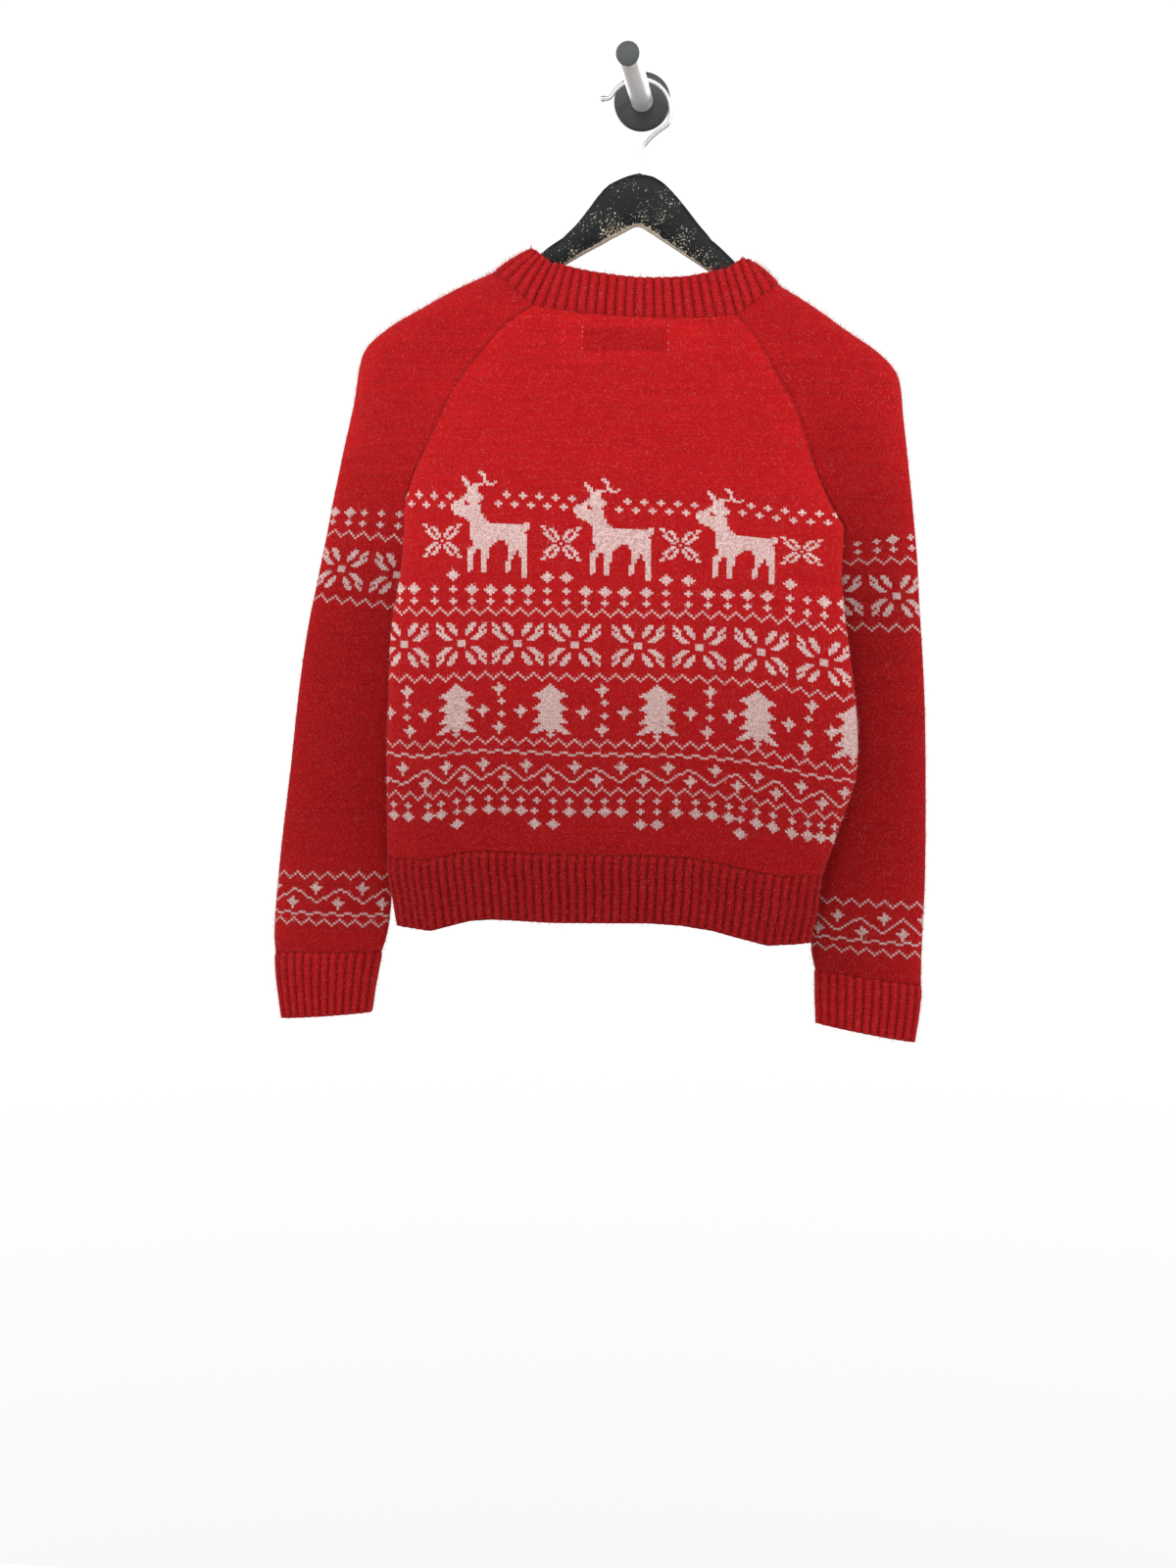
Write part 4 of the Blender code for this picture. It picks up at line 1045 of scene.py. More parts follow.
bandShift = np.column_stack([
    np.interp(neckX, bandLean[:, 0], bandLean[:, 1]),
    (band["middleY"] - neckY) * np.where(neckY < band["middleY"], *band["lean"]),
    np.interp(neckX, bandLean[:, 0], bandLean[:, 2]),
])
bandRows = np.array([
    neckSeam + bandShift * t + smoothNormal * band["belly"] * math.sin(math.pi * t)
    for t in np.linspace(band["foot"], 1, band["rows"])
])
bandAlong = np.roll(bandRows[:, :-1], -1, axis=1) - np.roll(bandRows[:, :-1], 1, axis=1)
bandAlong = np.concatenate([bandAlong, bandAlong[:, :1]], axis=1)
bandNormal = np.cross(bandAlong, np.gradient(bandRows, axis=0))
bandNormal /= np.linalg.norm(bandNormal, axis=2, keepdims=True)
ribObjects["neckband"] = ribPiece("rib_neckband", bandRows, bandNormal, rib["band"], True, joinedAtFoot=True)

# wool nap, stray fibres and sewn stitches by Geometry Nodes


def newTree(name, numbers):
    tree = bpy.data.node_groups.new(name, "GeometryNodeTree")
    tree.interface.new_socket("Geometry", in_out="INPUT", socket_type="NodeSocketGeometry")
    for socketName, value in numbers.items():
        kind = "NodeSocketInt" if isinstance(value, int) else "NodeSocketFloat"
        tree.interface.new_socket(socketName, in_out="INPUT", socket_type=kind).default_value = value
    tree.interface.new_socket("Geometry", in_out="OUTPUT", socket_type="NodeSocketGeometry")
    return tree, addNode(tree, "NodeGroupInput"), addNode(tree, "NodeGroupOutput")


def bake(host, tree, numbers, name):
    modifier = host.modifiers.new(tree.name, "NODES")
    modifier.node_group = tree
    for item in tree.interface.items_tree:
        if item.item_type == "SOCKET" and item.in_out == "INPUT" and item.name in numbers:
            modifier[item.identifier] = numbers[item.name]
    graph = bpy.context.evaluated_depsgraph_get()
    mesh = bpy.data.meshes.new_from_object(host.evaluated_get(graph))
    host.modifiers.remove(modifier)
    mesh.name = name
    nearest = -0.0003  # nothing reaches into the wall, metres
    for vertex in mesh.vertices:
        if vertex.co.y > nearest:
            vertex.co.y = nearest
    print("baked", name, len(mesh.polygons), "faces")
    return linkObject(name, mesh)


nap = {"density": 150000.0, "length": 3.6 * mm, "width": 0.34 * mm, "steps": 2, "edge": 3.2, "seed": 7}
strays = {"density": 9000.0, "length": 8.0 * mm, "width": 0.16 * mm, "steps": 4, "edge": 3.0, "seed": 31}
hiddenShare = 0.5  # nap on the pieces toward the wall
fibre = {
    "red": "#c4272b", "white": "#d8aca9", "curl": 0.45, "tip": 1.2, "lean": (0.1, 1.4), "size": (0.35, 1.25),
    "shader": {
        "Roughness": 0.9, "Specular IOR Level": 0.1, "Sheen Weight": 0.2, "Sheen Tint": (1.0, 0.6, 0.55, 1.0),
    },
}
# matt loose fibres, drawn coarser than the real 0.03 mm so that they show
fibreWool, fibreTree, fibreShader = newMaterial("loose_wool_fibres", fibre["shader"])
fibreMotif = addNode(fibreTree, "ShaderNodeAttribute", {"attribute_name": "motif"})
fibreColour = addNode(fibreTree, "ShaderNodeMix", {"data_type": "RGBA"}, {
    6: rgb(fibre["red"]), 7: rgb(fibre["white"])}, {"Factor": fibreMotif.outputs["Fac"]})
fibreTree.links.new(fibreColour.outputs[2], fibreShader.inputs["Base Color"])

napTree, napIn, napOut = newTree("wool_nap", {
    "Density": nap["density"], "Length": nap["length"], "Width": nap["width"], "Steps": nap["steps"],
    "Edge": nap["edge"], "Seed": nap["seed"],
})
# one fibre: a strip that narrows and curls toward its tip
blade = addNode(napTree, "GeometryNodeMeshGrid", values={"Size Y": 1.0, "Vertices X": 2}, links={
    "Size X": napIn.outputs["Width"], "Vertices Y": napIn.outputs["Steps"]})
bladePlace = addNode(napTree, "GeometryNodeInputPosition")
bladeParts = addNode(napTree, "ShaderNodeSeparateXYZ", links={0: bladePlace.outputs[0]})
along = addNode(napTree, "ShaderNodeMath", {"operation": "ADD"}, {1: 0.5}, {0: bladeParts.outputs["Y"]})
taper = addNode(napTree, "ShaderNodeMath", {"operation": "SUBTRACT"}, {0: fibre["tip"]}, {1: along.outputs[0]})
thin = addNode(napTree, "ShaderNodeMath", {"operation": "MULTIPLY"}, links={
    0: bladeParts.outputs["X"], 1: taper.outputs[0]})
squared = addNode(napTree, "ShaderNodeMath", {"operation": "POWER"}, {1: 2.0}, {0: along.outputs[0]})
curl = addNode(napTree, "ShaderNodeMath", {"operation": "MULTIPLY"}, links={
    0: squared.outputs[0], 1: napIn.outputs["Length"]})
curlPart = addNode(napTree, "ShaderNodeMath", {"operation": "MULTIPLY"}, {1: fibre["curl"]}, {0: curl.outputs[0]})
reached = addNode(napTree, "ShaderNodeMath", {"operation": "MULTIPLY"}, links={
    0: along.outputs[0], 1: napIn.outputs["Length"]})
bladePoint = addNode(napTree, "ShaderNodeCombineXYZ", links={
    "X": thin.outputs[0], "Y": curlPart.outputs[0], "Z": reached.outputs[0]})
bentBlade = addNode(napTree, "GeometryNodeSetPosition", links={
    "Geometry": blade.outputs["Mesh"], "Position": bladePoint.outputs[0]})
# fibres stand on outer faces only, and folds are brushed up more than flats
isOutside = addNode(napTree, "GeometryNodeInputNamedAttribute", {"data_type": "FLOAT"}, {"Name": "outside"})
density = addNode(napTree, "ShaderNodeMath", {"operation": "MULTIPLY"}, links={
    0: isOutside.outputs["Attribute"], 1: napIn.outputs["Density"]})
facing = addNode(napTree, "GeometryNodeInputNormal")
facingParts = addNode(napTree, "ShaderNodeSeparateXYZ", links={0: facing.outputs[0]})
flatness = addNode(napTree, "ShaderNodeMath", {"operation": "ABSOLUTE"}, links={0: facingParts.outputs["Y"]})
brushed = addNode(napTree, "ShaderNodeMapRange", values={"From Min": 0.85, "From Max": 0.30, "To Min": 1.0}, links={
    "Value": flatness.outputs[0], "To Max": napIn.outputs["Edge"]})
folded = addNode(napTree, "ShaderNodeMath", {"operation": "MULTIPLY"}, links={
    0: density.outputs[0], 1: brushed.outputs[0]})
scatter = addNode(napTree, "GeometryNodeDistributePointsOnFaces", {"distribute_method": "RANDOM"}, links={
    "Mesh": napIn.outputs["Geometry"], "Density": folded.outputs[0], "Seed": napIn.outputs["Seed"]})
# each fibre leans its own way
leanBy = addNode(napTree, "FunctionNodeRandomValue", {"data_type": "FLOAT"}, {
    "Min": fibre["lean"][0], "Max": fibre["lean"][1]}, {"Seed": napIn.outputs["Seed"]})
spin = addNode(napTree, "FunctionNodeRandomValue", {"data_type": "FLOAT"}, {"Min": 0.0, "Max": 6.283, "Seed": 11})
turnCos = addNode(napTree, "ShaderNodeMath", {"operation": "COSINE"}, links={0: spin.outputs[1]})
turnSin = addNode(napTree, "ShaderNodeMath", {"operation": "SINE"}, links={0: spin.outputs[1]})
turnAxis = addNode(napTree, "ShaderNodeCombineXYZ", links={"X": turnCos.outputs[0], "Y": turnSin.outputs[0]})
tilt = addNode(napTree, "FunctionNodeAxisAngleToRotation", links={
    "Axis": turnAxis.outputs[0], "Angle": leanBy.outputs[1]})
turnedBy = addNode(napTree, "FunctionNodeRotateRotation", {"rotation_space": "LOCAL"}, links={
    "Rotation": scatter.outputs["Rotation"], "Rotate By": tilt.outputs[0]})
size = addNode(napTree, "FunctionNodeRandomValue", {"data_type": "FLOAT"}, {
    "Min": fibre["size"][0], "Max": fibre["size"][1], "Seed": 3})
placed = addNode(napTree, "GeometryNodeInstanceOnPoints", links={
    "Points": scatter.outputs["Points"], "Instance": bentBlade.outputs["Geometry"],
    "Rotation": turnedBy.outputs[0], "Scale": size.outputs[1]})
solid = addNode(napTree, "GeometryNodeRealizeInstances", links={"Geometry": placed.outputs["Instances"]})
dyed = addNode(napTree, "GeometryNodeSetMaterial", values={"Material": fibreWool}, links={
    "Geometry": solid.outputs["Geometry"]})
napTree.links.new(dyed.outputs["Geometry"], napOut.inputs["Geometry"])

clothPieces = {
    "back": back, "front": front, "sleeve_left": sleeveObjects["left"], "sleeve_right": sleeveObjects["right"],
    **ribObjects,
}
napObjects = {}
for k, (name, piece) in enumerate(clothPieces.items()):
    share = hiddenShare if "front" in name else 1.0
    for kind, plan in (("nap_", nap), ("strays_", strays)):
        napObjects[kind + name] = bake(piece, napTree, {
            "Density": plan["density"] * share, "Length": plan["length"], "Width": plan["width"],
            "Steps": plan["steps"], "Edge": plan["edge"], "Seed": plan["seed"] + k,
        }, kind + name)

# stitches along the raglan seams, and the label's tacks

sewn = {
    "spacing": 3.1 * mm, "halfLength": 1.15 * mm, "halfWidth": 0.42 * mm,
    "above": 0.35,  # how far the raglan stitches stand out, mm
    "tackAbove": 1.15,
    "tacks": (  # x, top and foot of each run of tacks
        (-46.2, -198.5, -206.5), (27.2, -198.5, -203.0), (27.2, -214.0, -219.5), (-46.2, -216.5, -219.5),
    ),
}
seamShadeYarn = grainedMaterial("linking_yarn_painted_shade", {  # twisted red yarn, coloured dark as painted shade of the seam's groove
    "scale": 1400.0, "detail": 3.0, "colours": ("#5e0c10", "#8c1418"), "shader": {"Roughness": 0.9},
})
tackYarn = grainedMaterial("label_tack_thread", {  # polyester thread, a shade paler than the wool
    "scale": 2500.0, "detail": 2.0, "colours": ("#b5383a", "#dd8480"), "shader": {"Roughness": 0.6},
})
seamTree, seamIn, seamOut = newTree("seam_stitches", {
    "Spacing": sewn["spacing"], "Half length": sewn["halfLength"], "Half width": sewn["halfWidth"],
})
seamPoints = addNode(seamTree, "GeometryNodeCurveToPoints", {"mode": "LENGTH"}, links={
    "Curve": seamIn.outputs["Geometry"], "Length": seamIn.outputs["Spacing"]})
bead = addNode(seamTree, "GeometryNodeMeshIcoSphere", values={"Radius": 1.0, "Subdivisions": 1})
beadSize = addNode(seamTree, "ShaderNodeCombineXYZ", links={
    "X": seamIn.outputs["Half width"], "Y": seamIn.outputs["Half width"], "Z": seamIn.outputs["Half length"]})
shaped = addNode(seamTree, "GeometryNodeTransform", links={
    "Geometry": bead.outputs["Mesh"], "Scale": beadSize.outputs[0]})
stitched = addNode(seamTree, "GeometryNodeInstanceOnPoints", links={
    "Points": seamPoints.outputs["Points"], "Instance": shaped.outputs["Geometry"],
    "Rotation": seamPoints.outputs["Rotation"]})
stitchedSolid = addNode(seamTree, "GeometryNodeRealizeInstances", links={"Geometry": stitched.outputs["Instances"]})
stitchedDyed = addNode(seamTree, "GeometryNodeSetMaterial", values={"Material": seamShadeYarn}, links={
    "Geometry": stitchedSolid.outputs["Geometry"]})
seamTree.links.new(stitchedDyed.outputs["Geometry"], seamOut.inputs["Geometry"])


def seamLine(runs, name):
    curve = bpy.data.curves.new(name, "CURVE")
    curve.dimensions = "3D"
    for run in runs:
        line = curve.splines.new("POLY")
        line.points.add(len(run) - 1)
        for k, p in enumerate(run):
            line.points[k].co = (*(np.asarray(p) * mm), 1.0)
    host = linkObject(name + "_path", curve)
    made = bake(host, seamTree, {}, name)
    bpy.data.objects.remove(host)
    return made


def edgeRun(surface, share, sign):
    edge = np.array([share])
    return [
        surface(level, edge)[0] + normalRow(surface, level, edge, sign)[0] * sewn["above"]
        for level in np.linspace(2.02, 2.99, 60)
    ]


raglanSeams = seamLine([
    edgeRun(surface, share, sign) for surface, sign in ((backSurface, 1), (frontSurface, -1)) for share in (0.0, 1.0)
], "raglan_seam_stitches")

neckLevels, neckShares = np.linspace(2.5, 2.99, 60), np.linspace(0.1, 0.9, 90)
outsideNear = np.vstack([backSurface(level, neckShares) for level in neckLevels])
labelTacks = seamLine([
    [(x, fitY(outsideNear, x, z) - sewn["tackAbove"], z) for z in np.linspace(top, foot, 12)]
    for x, top, foot in sewn["tacks"]
], "label_tack_stitches")
labelTacks.data.materials.clear()
labelTacks.data.materials.append(tackYarn)

# hanger, hook and peg


def loftObject(name, sections, material):
    count = len(sections[0])
    points = np.array(sections).reshape(-1, 3)
    index = np.arange(len(points)).reshape(len(sections), count)
    nextColumn = np.roll(index, -1, axis=1)
    sides = np.stack([index[:-1], nextColumn[:-1], nextColumn[1:], index[1:]], -1).reshape(-1, 4)
    faces = [tuple(face) for face in sides] + [tuple(index[0][::-1]), tuple(index[-1])]
    mesh = bpy.data.meshes.new(name)
    mesh.from_pydata([tuple(p * mm) for p in points], [], faces)
    mesh.polygons.foreach_set("use_smooth", [True] * len(mesh.polygons))
    mesh.validate()
    mesh.materials.append(material)
    print("lofted", name, len(mesh.polygons), "faces")
    return linkObject(name, mesh)


hanger = {
    "plane": -28.0, "halfDepth": 6.0, "round": 0.62,  # mm, and the power that squares the section's corners
    "stations": 157, "around": 32, "softened": 9,
    "board": np.array([  # x, top z, lower z
        (-229.0, -209.0, -213.5), (-227.0, -207.0, -217.5), (-222.0, -204.5, -219.5),
        (-200.0, -192.5, -211.0), (-165.0, -174.5, -195.5), (-126.0, -153.5, -175.5),
        (-84.0, -130.0, -153.0), (-66.0, -119.0, -142.5), (-55.0, -109.0, -136.6),
        (-45.0, -97.5, -131.6), (-33.0, -81.5, -125.7), (-25.0, -75.0, -121.7),
        (-12.0, -69.5, -115.3), (-1.3, -67.0, -110.0), (12.0, -70.0, -118.8), (21.0, -75.5, -124.8),
        (31.0, -85.7, -131.4), (41.5, -98.6, -138.4), (51.7, -112.0, -145.1), (62.0, -123.5, -152.0),
        (84.0, -144.7, -170.0), (119.0, -171.5, -196.0), (155.0, -197.5, -219.5),
        (188.0, -221.0, -241.0), (201.0, -231.0, -246.5), (206.0, -235.5, -246.5),
        (208.0, -239.0, -243.5),
    ]),
    "paint": ("#080b0d", "#0f1516"), "wood": ("#958878", "#c6b8a4"),
    "chipAt": (0.906, 0.916), "worn": 0.42, "patchy": 0.45,  # paint is gone where noise and wear pass chipAt
    "shine": (0.46, 0.8),  # roughness of the paint and of the wood
    "wearUnder": 0.34, "wearEdge": 0.66,  # wear on the lower side, and along its lowest edge
}
black, white = (0, 0, 0, 1), (1, 1, 1, 1)

# brushed black paint on beech, worn through to bare wood
paintedWood, paintTree, paintShader = newMaterial("chipped_black_paint_on_beech", {"Specular IOR Level": 0.22})
paintPlace = addNode(paintTree, "ShaderNodeTexCoord").outputs["Object"]
wear = addNode(paintTree, "ShaderNodeAttribute", {"attribute_name": "wear"})
chips = addNode(paintTree, "ShaderNodeTexNoise", values={"Scale": 600.0, "Detail": 3.0, "Roughness": 0.6}, links={
    "Vector": paintPlace})
patches = addNode(paintTree, "ShaderNodeTexNoise", values={"Scale": 60.0, "Detail": 3.0, "Roughness": 0.6}, links={
    "Vector": paintPlace})
patchPart = addNode(paintTree, "ShaderNodeMath", {"operation": "MULTIPLY"}, {1: hanger["patchy"]}, {
    0: patches.outputs["Fac"]})
chipSum = addNode(paintTree, "ShaderNodeMath", {"operation": "ADD"}, links={
    0: chips.outputs["Fac"], 1: patchPart.outputs[0]})
chipWear = addNode(paintTree, "ShaderNodeMath", {"operation": "MULTIPLY_ADD"}, {1: hanger["worn"]}, {
    0: wear.outputs["Fac"], 2: chipSum.outputs[0]})
chipMask = addNode(paintTree, "ShaderNodeValToRGB", links={"Fac": chipWear.outputs[0]}, stops=(
    (0.0, black), (hanger["chipAt"][0], black), (hanger["chipAt"][1], white), (1.0, white)))
grainPlace = addNode(paintTree, "ShaderNodeMapping", values={"Scale": (60.0, 900.0, 900.0)}, links={
    "Vector": paintPlace})
grain = addNode(paintTree, "ShaderNodeTexNoise", values={"Scale": 1.0, "Detail": 5.0}, links={
    "Vector": grainPlace.outputs[0]})
woodColour = addNode(paintTree, "ShaderNodeValToRGB", links={"Fac": grain.outputs["Fac"]}, stops=(
    (0.3, rgb(hanger["wood"][0])), (0.7, rgb(hanger["wood"][1]))))
paintColour = addNode(paintTree, "ShaderNodeValToRGB", links={"Fac": patches.outputs["Fac"]}, stops=(
    (0.35, rgb(hanger["paint"][0])), (0.65, rgb(hanger["paint"][1]))))
paintMix = addNode(paintTree, "ShaderNodeMix", {"data_type": "RGBA"}, links={
    "Factor": chipMask.outputs["Color"], 6: paintColour.outputs["Color"], 7: woodColour.outputs["Color"]})
paintTree.links.new(paintMix.outputs[2], paintShader.inputs["Base Color"])
paintRough = addNode(paintTree, "ShaderNodeMapRange", values={
    "To Min": hanger["shine"][0], "To Max": hanger["shine"][1]}, links={"Value": chipMask.outputs["Color"]})
paintTree.links.new(paintRough.outputs[0], paintShader.inputs["Roughness"])
paintHeight = addNode(paintTree, "ShaderNodeMath", {"operation": "SUBTRACT"}, {0: 1.0}, {
    1: chipMask.outputs["Color"]})
paintRelief = addNode(paintTree, "ShaderNodeBump", values={"Strength": 0.6, "Distance": 0.15 * mm}, links={
    "Height": paintHeight.outputs[0]})
paintTree.links.new(paintRelief.outputs["Normal"], paintShader.inputs["Normal"])

board = hanger["board"]
stations = np.interp(np.linspace(0, len(board) - 1, hanger["stations"]), np.arange(len(board)), board[:, 0])


def smoothCurve(column):
    # the board's edge without the table's corners, but left as it is near the two tips
    tip = 12
    raw = np.interp(stations, board[:, 0], board[:, column])
    size = hanger["softened"]
    soft = np.convolve(np.pad(raw, size // 2, mode="edge"), np.hanning(size) / np.hanning(size).sum(), "valid")
    place = np.arange(len(raw))
    return np.where((place < tip) | (place >= len(raw) - tip), raw, soft)


angles = np.linspace(0, 2 * math.pi, hanger["around"], endpoint=False)
cosA, sinA = np.cos(angles), np.sin(angles)
boardSections = []
for x, high, low in zip(stations, smoothCurve(1), smoothCurve(2)):
    middle, half = (high + low) / 2, (high - low) / 2
    blunt = min(1.0, half / hanger["halfDepth"])  # the tips are as thin as they are low
    y = hanger["plane"] + hanger["halfDepth"] * blunt * np.sign(sinA) * np.abs(sinA) ** hanger["round"]
    z = middle + half * np.sign(cosA) * np.abs(cosA) ** hanger["round"]
    boardSections.append(np.column_stack([np.full(len(angles), x), y, z]))
hangerBoard = loftObject("hanger_board", boardSections, paintedWood)
underWear = hanger["wearUnder"] * np.clip((0.6 - cosA) / 1.6, 0, 1) ** 1.6
edgeWear = hanger["wearEdge"] * np.clip((-cosA - 0.84) / 0.08, 0, 1)
wearValues = np.tile(underWear + edgeWear, len(stations)).astype(np.float32)
hangerBoard.data.attributes.new("wear", "FLOAT", "POINT").data.foreach_set("value", wearValues)

hook = {
    "radius": 27.5, "wire": 1.8, "centre": (-0.6, -16.0), "from": -24.0, "to": 152.0,  # degrees from level
    "foot": [(0.0, -67.6), (0.3, -60.0), (0.8, -52.0), (3.2, -44.5), (9.5, -37.6), (16.5, -32.2)],  # x, z
    "lip": [(-27.3, -4.2), (-30.5, -3.6), (-32.0, -4.2), (-33.6, -5.2)],
    "knob": 2.5,  # radius of the bead on the wire's tip
    "steps": 170, "around": 20, "softened": 11,
}
chromeWire = grainedMaterial("nickel_plated_steel_wire", {  # drawn wire, bright with faint lengthwise lines
    "scale": 500.0, "detail": 3.0, "rough": (0.26, 0.40),
    "shader": {"Base Color": rgb("#d0d4d8"), "Metallic": 0.94},
})


def tubeAlong(name, path, radii, material):
    tangent = np.gradient(path, axis=0)
    tangent /= np.linalg.norm(tangent, axis=1, keepdims=True)
    side = np.array([0.0, 1.0, 0.0])
    turns = np.linspace(0, 2 * math.pi, hook["around"], endpoint=False)
    sections = []
    for p, t, r in zip(path, tangent, radii):
        other = np.cross(side, t)
        sections.append(p + r * (np.cos(turns)[:, None] * side + np.sin(turns)[:, None] * other))
    return loftObject(name, sections, material)


turn = np.radians(np.linspace(hook["from"], hook["to"], 60))
arc = np.array(hook["centre"]) + hook["radius"] * np.column_stack([np.cos(turn), np.sin(turn)])
wireLine = np.vstack([hook["foot"], arc, hook["lip"]])
wireGone = runLength(wireLine)
even = np.linspace(0, wireGone[-1], hook["steps"])
wirePath = np.column_stack([
    np.interp(even, wireGone, wireLine[:, 0]), np.full(len(even), hanger["plane"]),
    np.interp(even, wireGone, wireLine[:, 1]),
])
kernel = np.hanning(hook["softened"]) / np.hanning(hook["softened"]).sum()
margin = hook["softened"] // 2
for axis in (0, 2):
    wirePath[margin:-margin, axis] = np.convolve(wirePath[:, axis], kernel, "valid")
fromTip, knob = wireGone[-1] - even, hook["knob"]
knobRadii = np.sqrt(np.maximum(0.05, knob**2 - (fromTip - knob) ** 2))
radii = np.where(fromTip < 2 * knob, knobRadii, hook["wire"])
radii = np.maximum(radii, np.where(fromTip < knob, 0.2, hook["wire"]))
hookWire = tubeAlong("hook_wire", wirePath, radii, chromeWire)

peg = {  # radius, distance from the wall
    "plate": [(24.3, 0.0), (24.5, 0.4), (24.5, 4.9), (24.3, 5.4), (23.8, 5.8), (23.0, 6.0), (11.0, 6.0)],
    "tube": [(9.4, 6.0), (9.4, 124.4), (9.3, 124.9)],
    "cap": [(9.4, 125.0), (9.4, 127.2), (9.2, 127.7), (8.8, 128.0), (0.6, 128.0)],
    "around": 96, "sharpAngle": 40,
}
blackMetal = grainedMaterial("powder_coated_steel", {  # baked black powder, fine orange peel
    "scale": 900.0, "detail": 3.0, "colours": ("#202124", "#2b2c30"), "relief": (0.25, 0.08 * mm),
    "shader": {"Roughness": 0.42},
})
satinSteel = grainedMaterial("satin_stainless_tube", {  # turned along its length, a soft long highlight
    "stretch": (1200.0, 30.0, 1200.0), "scale": 1.0, "detail": 4.0, "rough": (0.30, 0.48),
    "shader": {"Base Color": rgb("#f0f1ef"), "Metallic": 0.62},
})
capPlastic = grainedMaterial("moulded_polyamide_cap", {  # matt dark grey plastic with a spark-eroded grain
    "scale": 1500.0, "detail": 2.0, "colours": ("#3c3f41", "#4d5052"), "relief": (0.2, 0.05 * mm),
    "shader": {"Roughness": 0.55},
})


def lathe(name, profile, material):
    turns = np.linspace(0, 2 * math.pi, peg["around"], endpoint=False)
    sections = [
        np.column_stack([radius * np.cos(turns), np.full(len(turns), -out), radius * np.sin(turns)])
        for radius, out in profile
    ]
    made = loftObject(name, sections, material)
    made.modifiers.new("edges", "EDGE_SPLIT").split_angle = math.radians(peg["sharpAngle"])
    return made


pegPlate = lathe("peg_disc", peg["plate"], blackMetal)
pegTube = lathe("peg_rod", peg["tube"], satinSteel)
pegCap = lathe("peg_end_cap", peg["cap"], capPlastic)

# neck label, left bare

labelCloth = grainedMaterial("woven_satin_label", {  # tight red satin ribbon, blank, with folded ends
    "stretch": (240.0, 240.0, 3800.0), "scale": 1.0, "detail": 2.0, "colours": ("#8f1519", "#b32327"),
    "relief": (0.3, 0.05 * mm), "shader": {"Roughness": 0.55, "Specular IOR Level": 0.25, "Sheen Weight": 0.08},
})
insideNear = np.vstack([
    backSurface(level, neckShares) - normalRow(backSurface, level, neckShares, 1) * label["inside"]
    for level in neckLevels
])
left, right, foot, top = label["box"]
labelPoints = np.array([
    (x, fitY(insideNear, x, z), z)
    for z in np.linspace(foot, top, label["rows"]) for x in np.linspace(left, right, label["columns"])
])
fromEnd = np.minimum(labelPoints[:, 0] - left, right - labelPoints[:, 0])
fold = label["foldRise"] * ease((label["foldWidth"] - fromEnd) / label["foldOver"])
still = np.zeros(len(fold))
labelFace = labelPoints + np.column_stack([still, label["thick"] + fold * label["foldShare"], still])
labelIndex = np.arange(len(labelPoints)).reshape(label["rows"], label["columns"])
labelBlocks = slabFaces(labelIndex, labelIndex + len(labelPoints), False)
labelMesh = bpy.data.meshes.new("neck_label_cloth")
labelMesh.from_pydata(
    [tuple(p * mm) for p in np.vstack([labelPoints, labelFace])], [],
    [tuple(face) for block in labelBlocks for face in block],
)
labelMesh.materials.append(labelCloth)
labelPiece = linkObject("neck_label_cloth", labelMesh)
print("label", len(labelMesh.polygons), "faces")

# what each piece rides on, replaces and is made of

pieces = [
    (back, "back_panel", "red_knit"), (front, "front_panel", "red_knit"),
    (sleeveObjects["left"], "left_sleeve", "red_knit"), (sleeveObjects["right"], "right_sleeve", "red_knit"),
    (ribObjects["hem_back"], "hem_rib_back", "red_rib"), (ribObjects["hem_front"], "hem_rib_front", "red_rib"),
    (ribObjects["cuff_left"], "left_cuff", "red_rib"), (ribObjects["cuff_right"], "right_cuff", "red_rib"),
    (ribObjects["neckband"], "neckband", "red_rib"), (labelPiece, "neck_label", "label_cloth"),
    *[(made, None, "red_knit") for made in (*napObjects.values(), raglanSeams, labelTacks)],
    (hangerBoard, "hanger", "black_painted_wood"), (hookWire, "hanger_hook", "chrome_wire"),
    (pegPlate, "peg_plate", "black_metal"), (pegTube, "peg_tube", "satin_steel"),
    (pegCap, "peg_cap", "black_plastic"),
]
for piece, node, finish in pieces:
    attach(piece, "root")
    if node:
        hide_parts(node)
print("pieces placed")

# studio

studio = {
    "ambient": 0.25, "backdrop": 1.03, "backdropFrom": (-0.5, -0.15), "backdropShade": (0.913, 0.913, 0.913, 1),
    "softboxes": {  # place, aim, width, height, watts
        "left": ((-1.35, -0.55, 0.1), (-0.1, -0.03, -0.42), 0.6, 1.5, 15.5),
        "right": ((1.35, -0.55, 0.1), (0.1, -0.03, -0.42), 0.6, 1.5, 15.5),
        "wall_left": ((-1.0, 1.5, 0.35), (-0.05, 0, -0.4), 0.9, 1.3, 12.0),
        "wall_right": ((1.0, 1.5, 0.35), (0.05, 0, -0.4), 0.9, 1.3, 12.0),
        "front": ((0.0, -1.15, 0.55), (0, -0.03, -0.25), 1.3, 0.8, 10.3),
    },
    "floor": (-1.45, 4, 0.12),  # height, reach to the sides and forward, reach back, metres
    "paperGlow": 0.45,  # evens the paper out
}
world = bpy.data.worlds.new("studio")
bpy.context.scene.world = world
world.use_nodes = True
worldTree = world.node_tree
ambient = worldTree.nodes["Background"]
ambient.inputs["Color"].default_value = white
ambient.inputs["Strength"].default_value = studio["ambient"]
backdrop = addNode(worldTree, "ShaderNodeBackground", values={"Strength": studio["backdrop"]})
backdropPlace = addNode(worldTree, "ShaderNodeTexCoord")
backdropParts = addNode(worldTree, "ShaderNodeSeparateXYZ", links={0: backdropPlace.outputs["Generated"]})
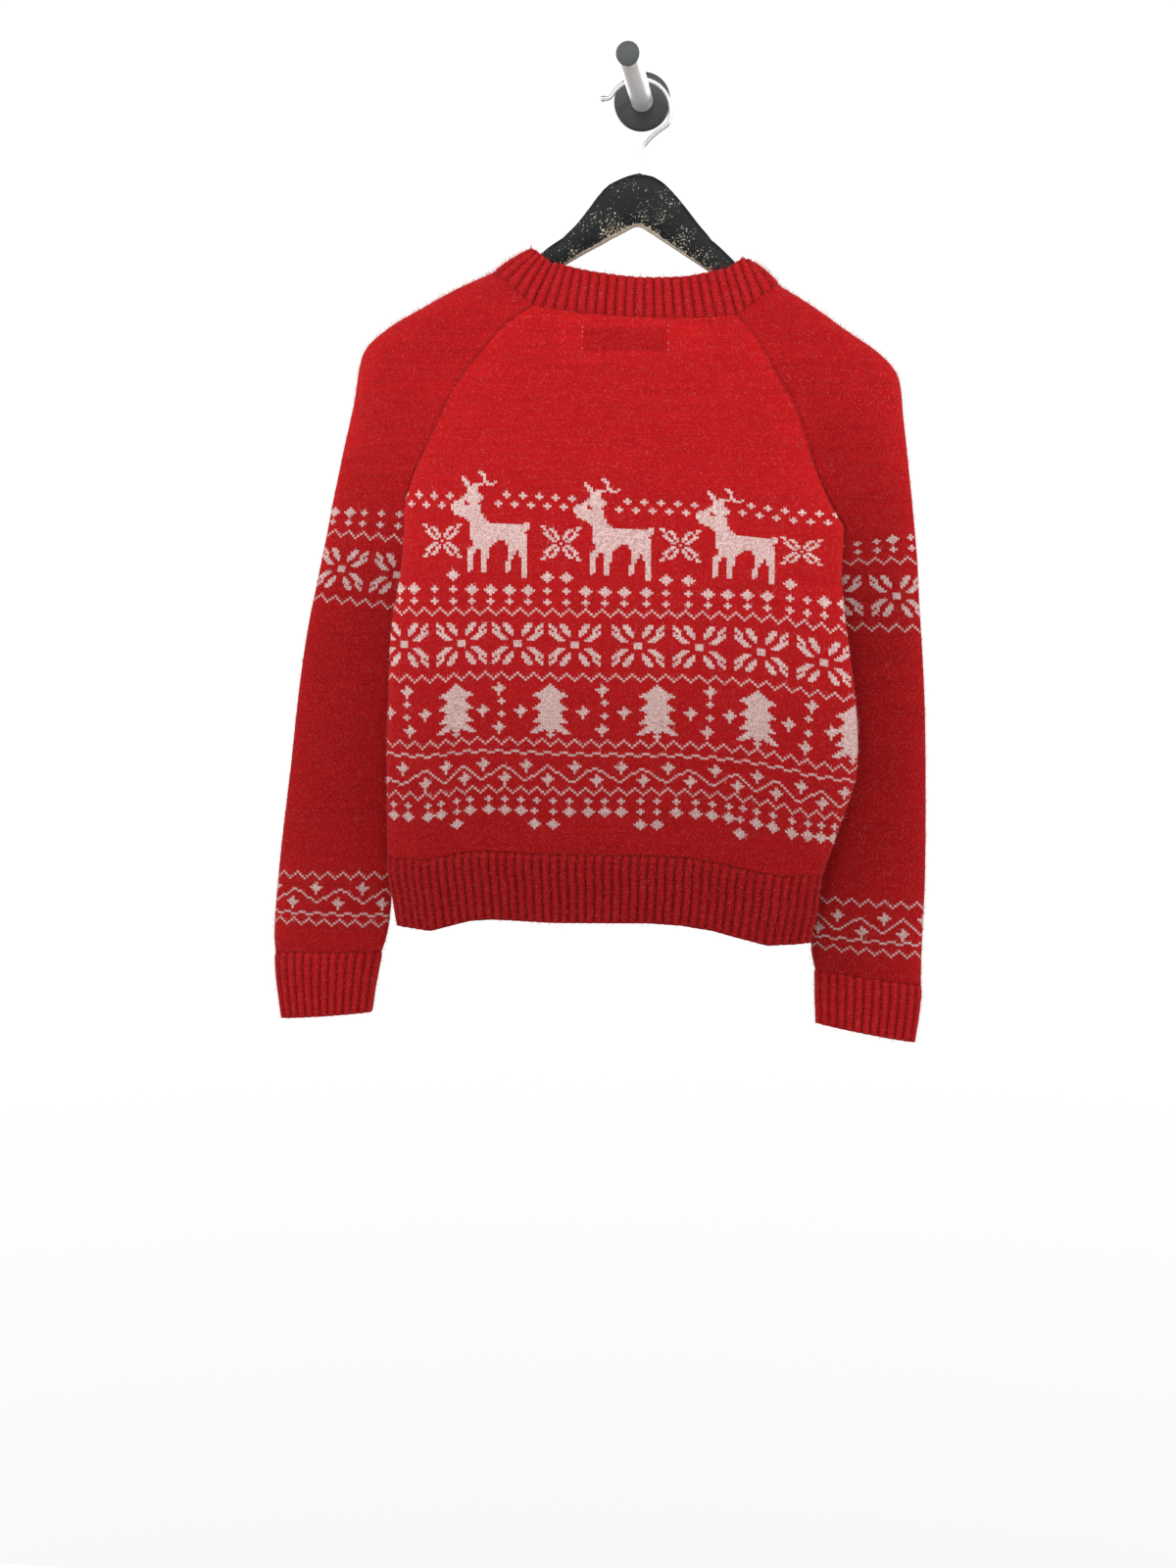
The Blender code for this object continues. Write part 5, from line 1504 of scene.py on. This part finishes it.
backdropHeight = addNode(worldTree, "ShaderNodeMapRange", values={
    "From Min": studio["backdropFrom"][0], "From Max": studio["backdropFrom"][1]}, links={
    "Value": backdropParts.outputs["Z"]})
backdropColour = addNode(worldTree, "ShaderNodeValToRGB", links={"Fac": backdropHeight.outputs[0]}, stops=(
    (0.0, studio["backdropShade"]), (1.0, white)))
worldTree.links.new(backdropColour.outputs["Color"], backdrop.inputs["Color"])
seen = addNode(worldTree, "ShaderNodeLightPath")  # the camera sees the backdrop, the pieces are lit by the ambient
either = addNode(worldTree, "ShaderNodeMixShader", links={
    0: seen.outputs["Is Camera Ray"], 1: ambient.outputs[0], 2: backdrop.outputs[0]})
worldTree.links.new(either.outputs[0], worldTree.nodes["World Output"].inputs["Surface"])
bpy.context.scene.view_settings.view_transform = "Standard"

for name, (place, aim, width, height, watts) in studio["softboxes"].items():
    light = bpy.data.lights.new("softbox_" + name, "AREA")
    light.shape = "RECTANGLE"
    light.size, light.size_y, light.energy = width, height, watts
    softbox = linkObject("softbox_" + name, light)
    softbox.location = place
    softbox.rotation_euler = (Vector(aim) - Vector(place)).to_track_quat("-Z", "Y").to_euler()

floorMesh = bpy.data.meshes.new("studio_floor")
floorZ, floorReach, floorBack = studio["floor"]
floorMesh.from_pydata([
    (x, y, floorZ) for x, y in (
        (-floorReach, -floorReach), (floorReach, -floorReach), (floorReach, floorBack), (-floorReach, floorBack))
], [], [(0, 1, 2, 3)])
floorMesh.materials.append(grainedMaterial("matt_white_paper", {
    "scale": 3.0, "detail": 2.0, "colours": ("#efefee", "#f6f6f5"),
    "shader": {"Roughness": 0.9, "Emission Color": white, "Emission Strength": studio["paperGlow"]},
}))
linkObject("studio_floor", floorMesh)
print("studio lit")

# flat sizes and the sizes file

flatSizes = {  # width and length of each knitted piece before it is sewn, and its area, metres
    "back": (0.42, 0.475, 0.165), "front": (0.42, 0.455, 0.155), "sleeve_left": (0.25, 0.60, 0.115),
    "sleeve_right": (0.25, 0.60, 0.115), "hem_back": (0.38, 0.062, None), "hem_front": (0.38, 0.062, None),
    "cuff_left": (0.20, 0.055, None), "cuff_right": (0.20, 0.055, None), "neckband": (0.52, 0.040, None),
}
for name, (width, length, area) in flatSizes.items():
    extras = [napObjects["nap_" + name], napObjects["strays_" + name]]
    if name == "back":
        extras += [raglanSeams, labelTacks]
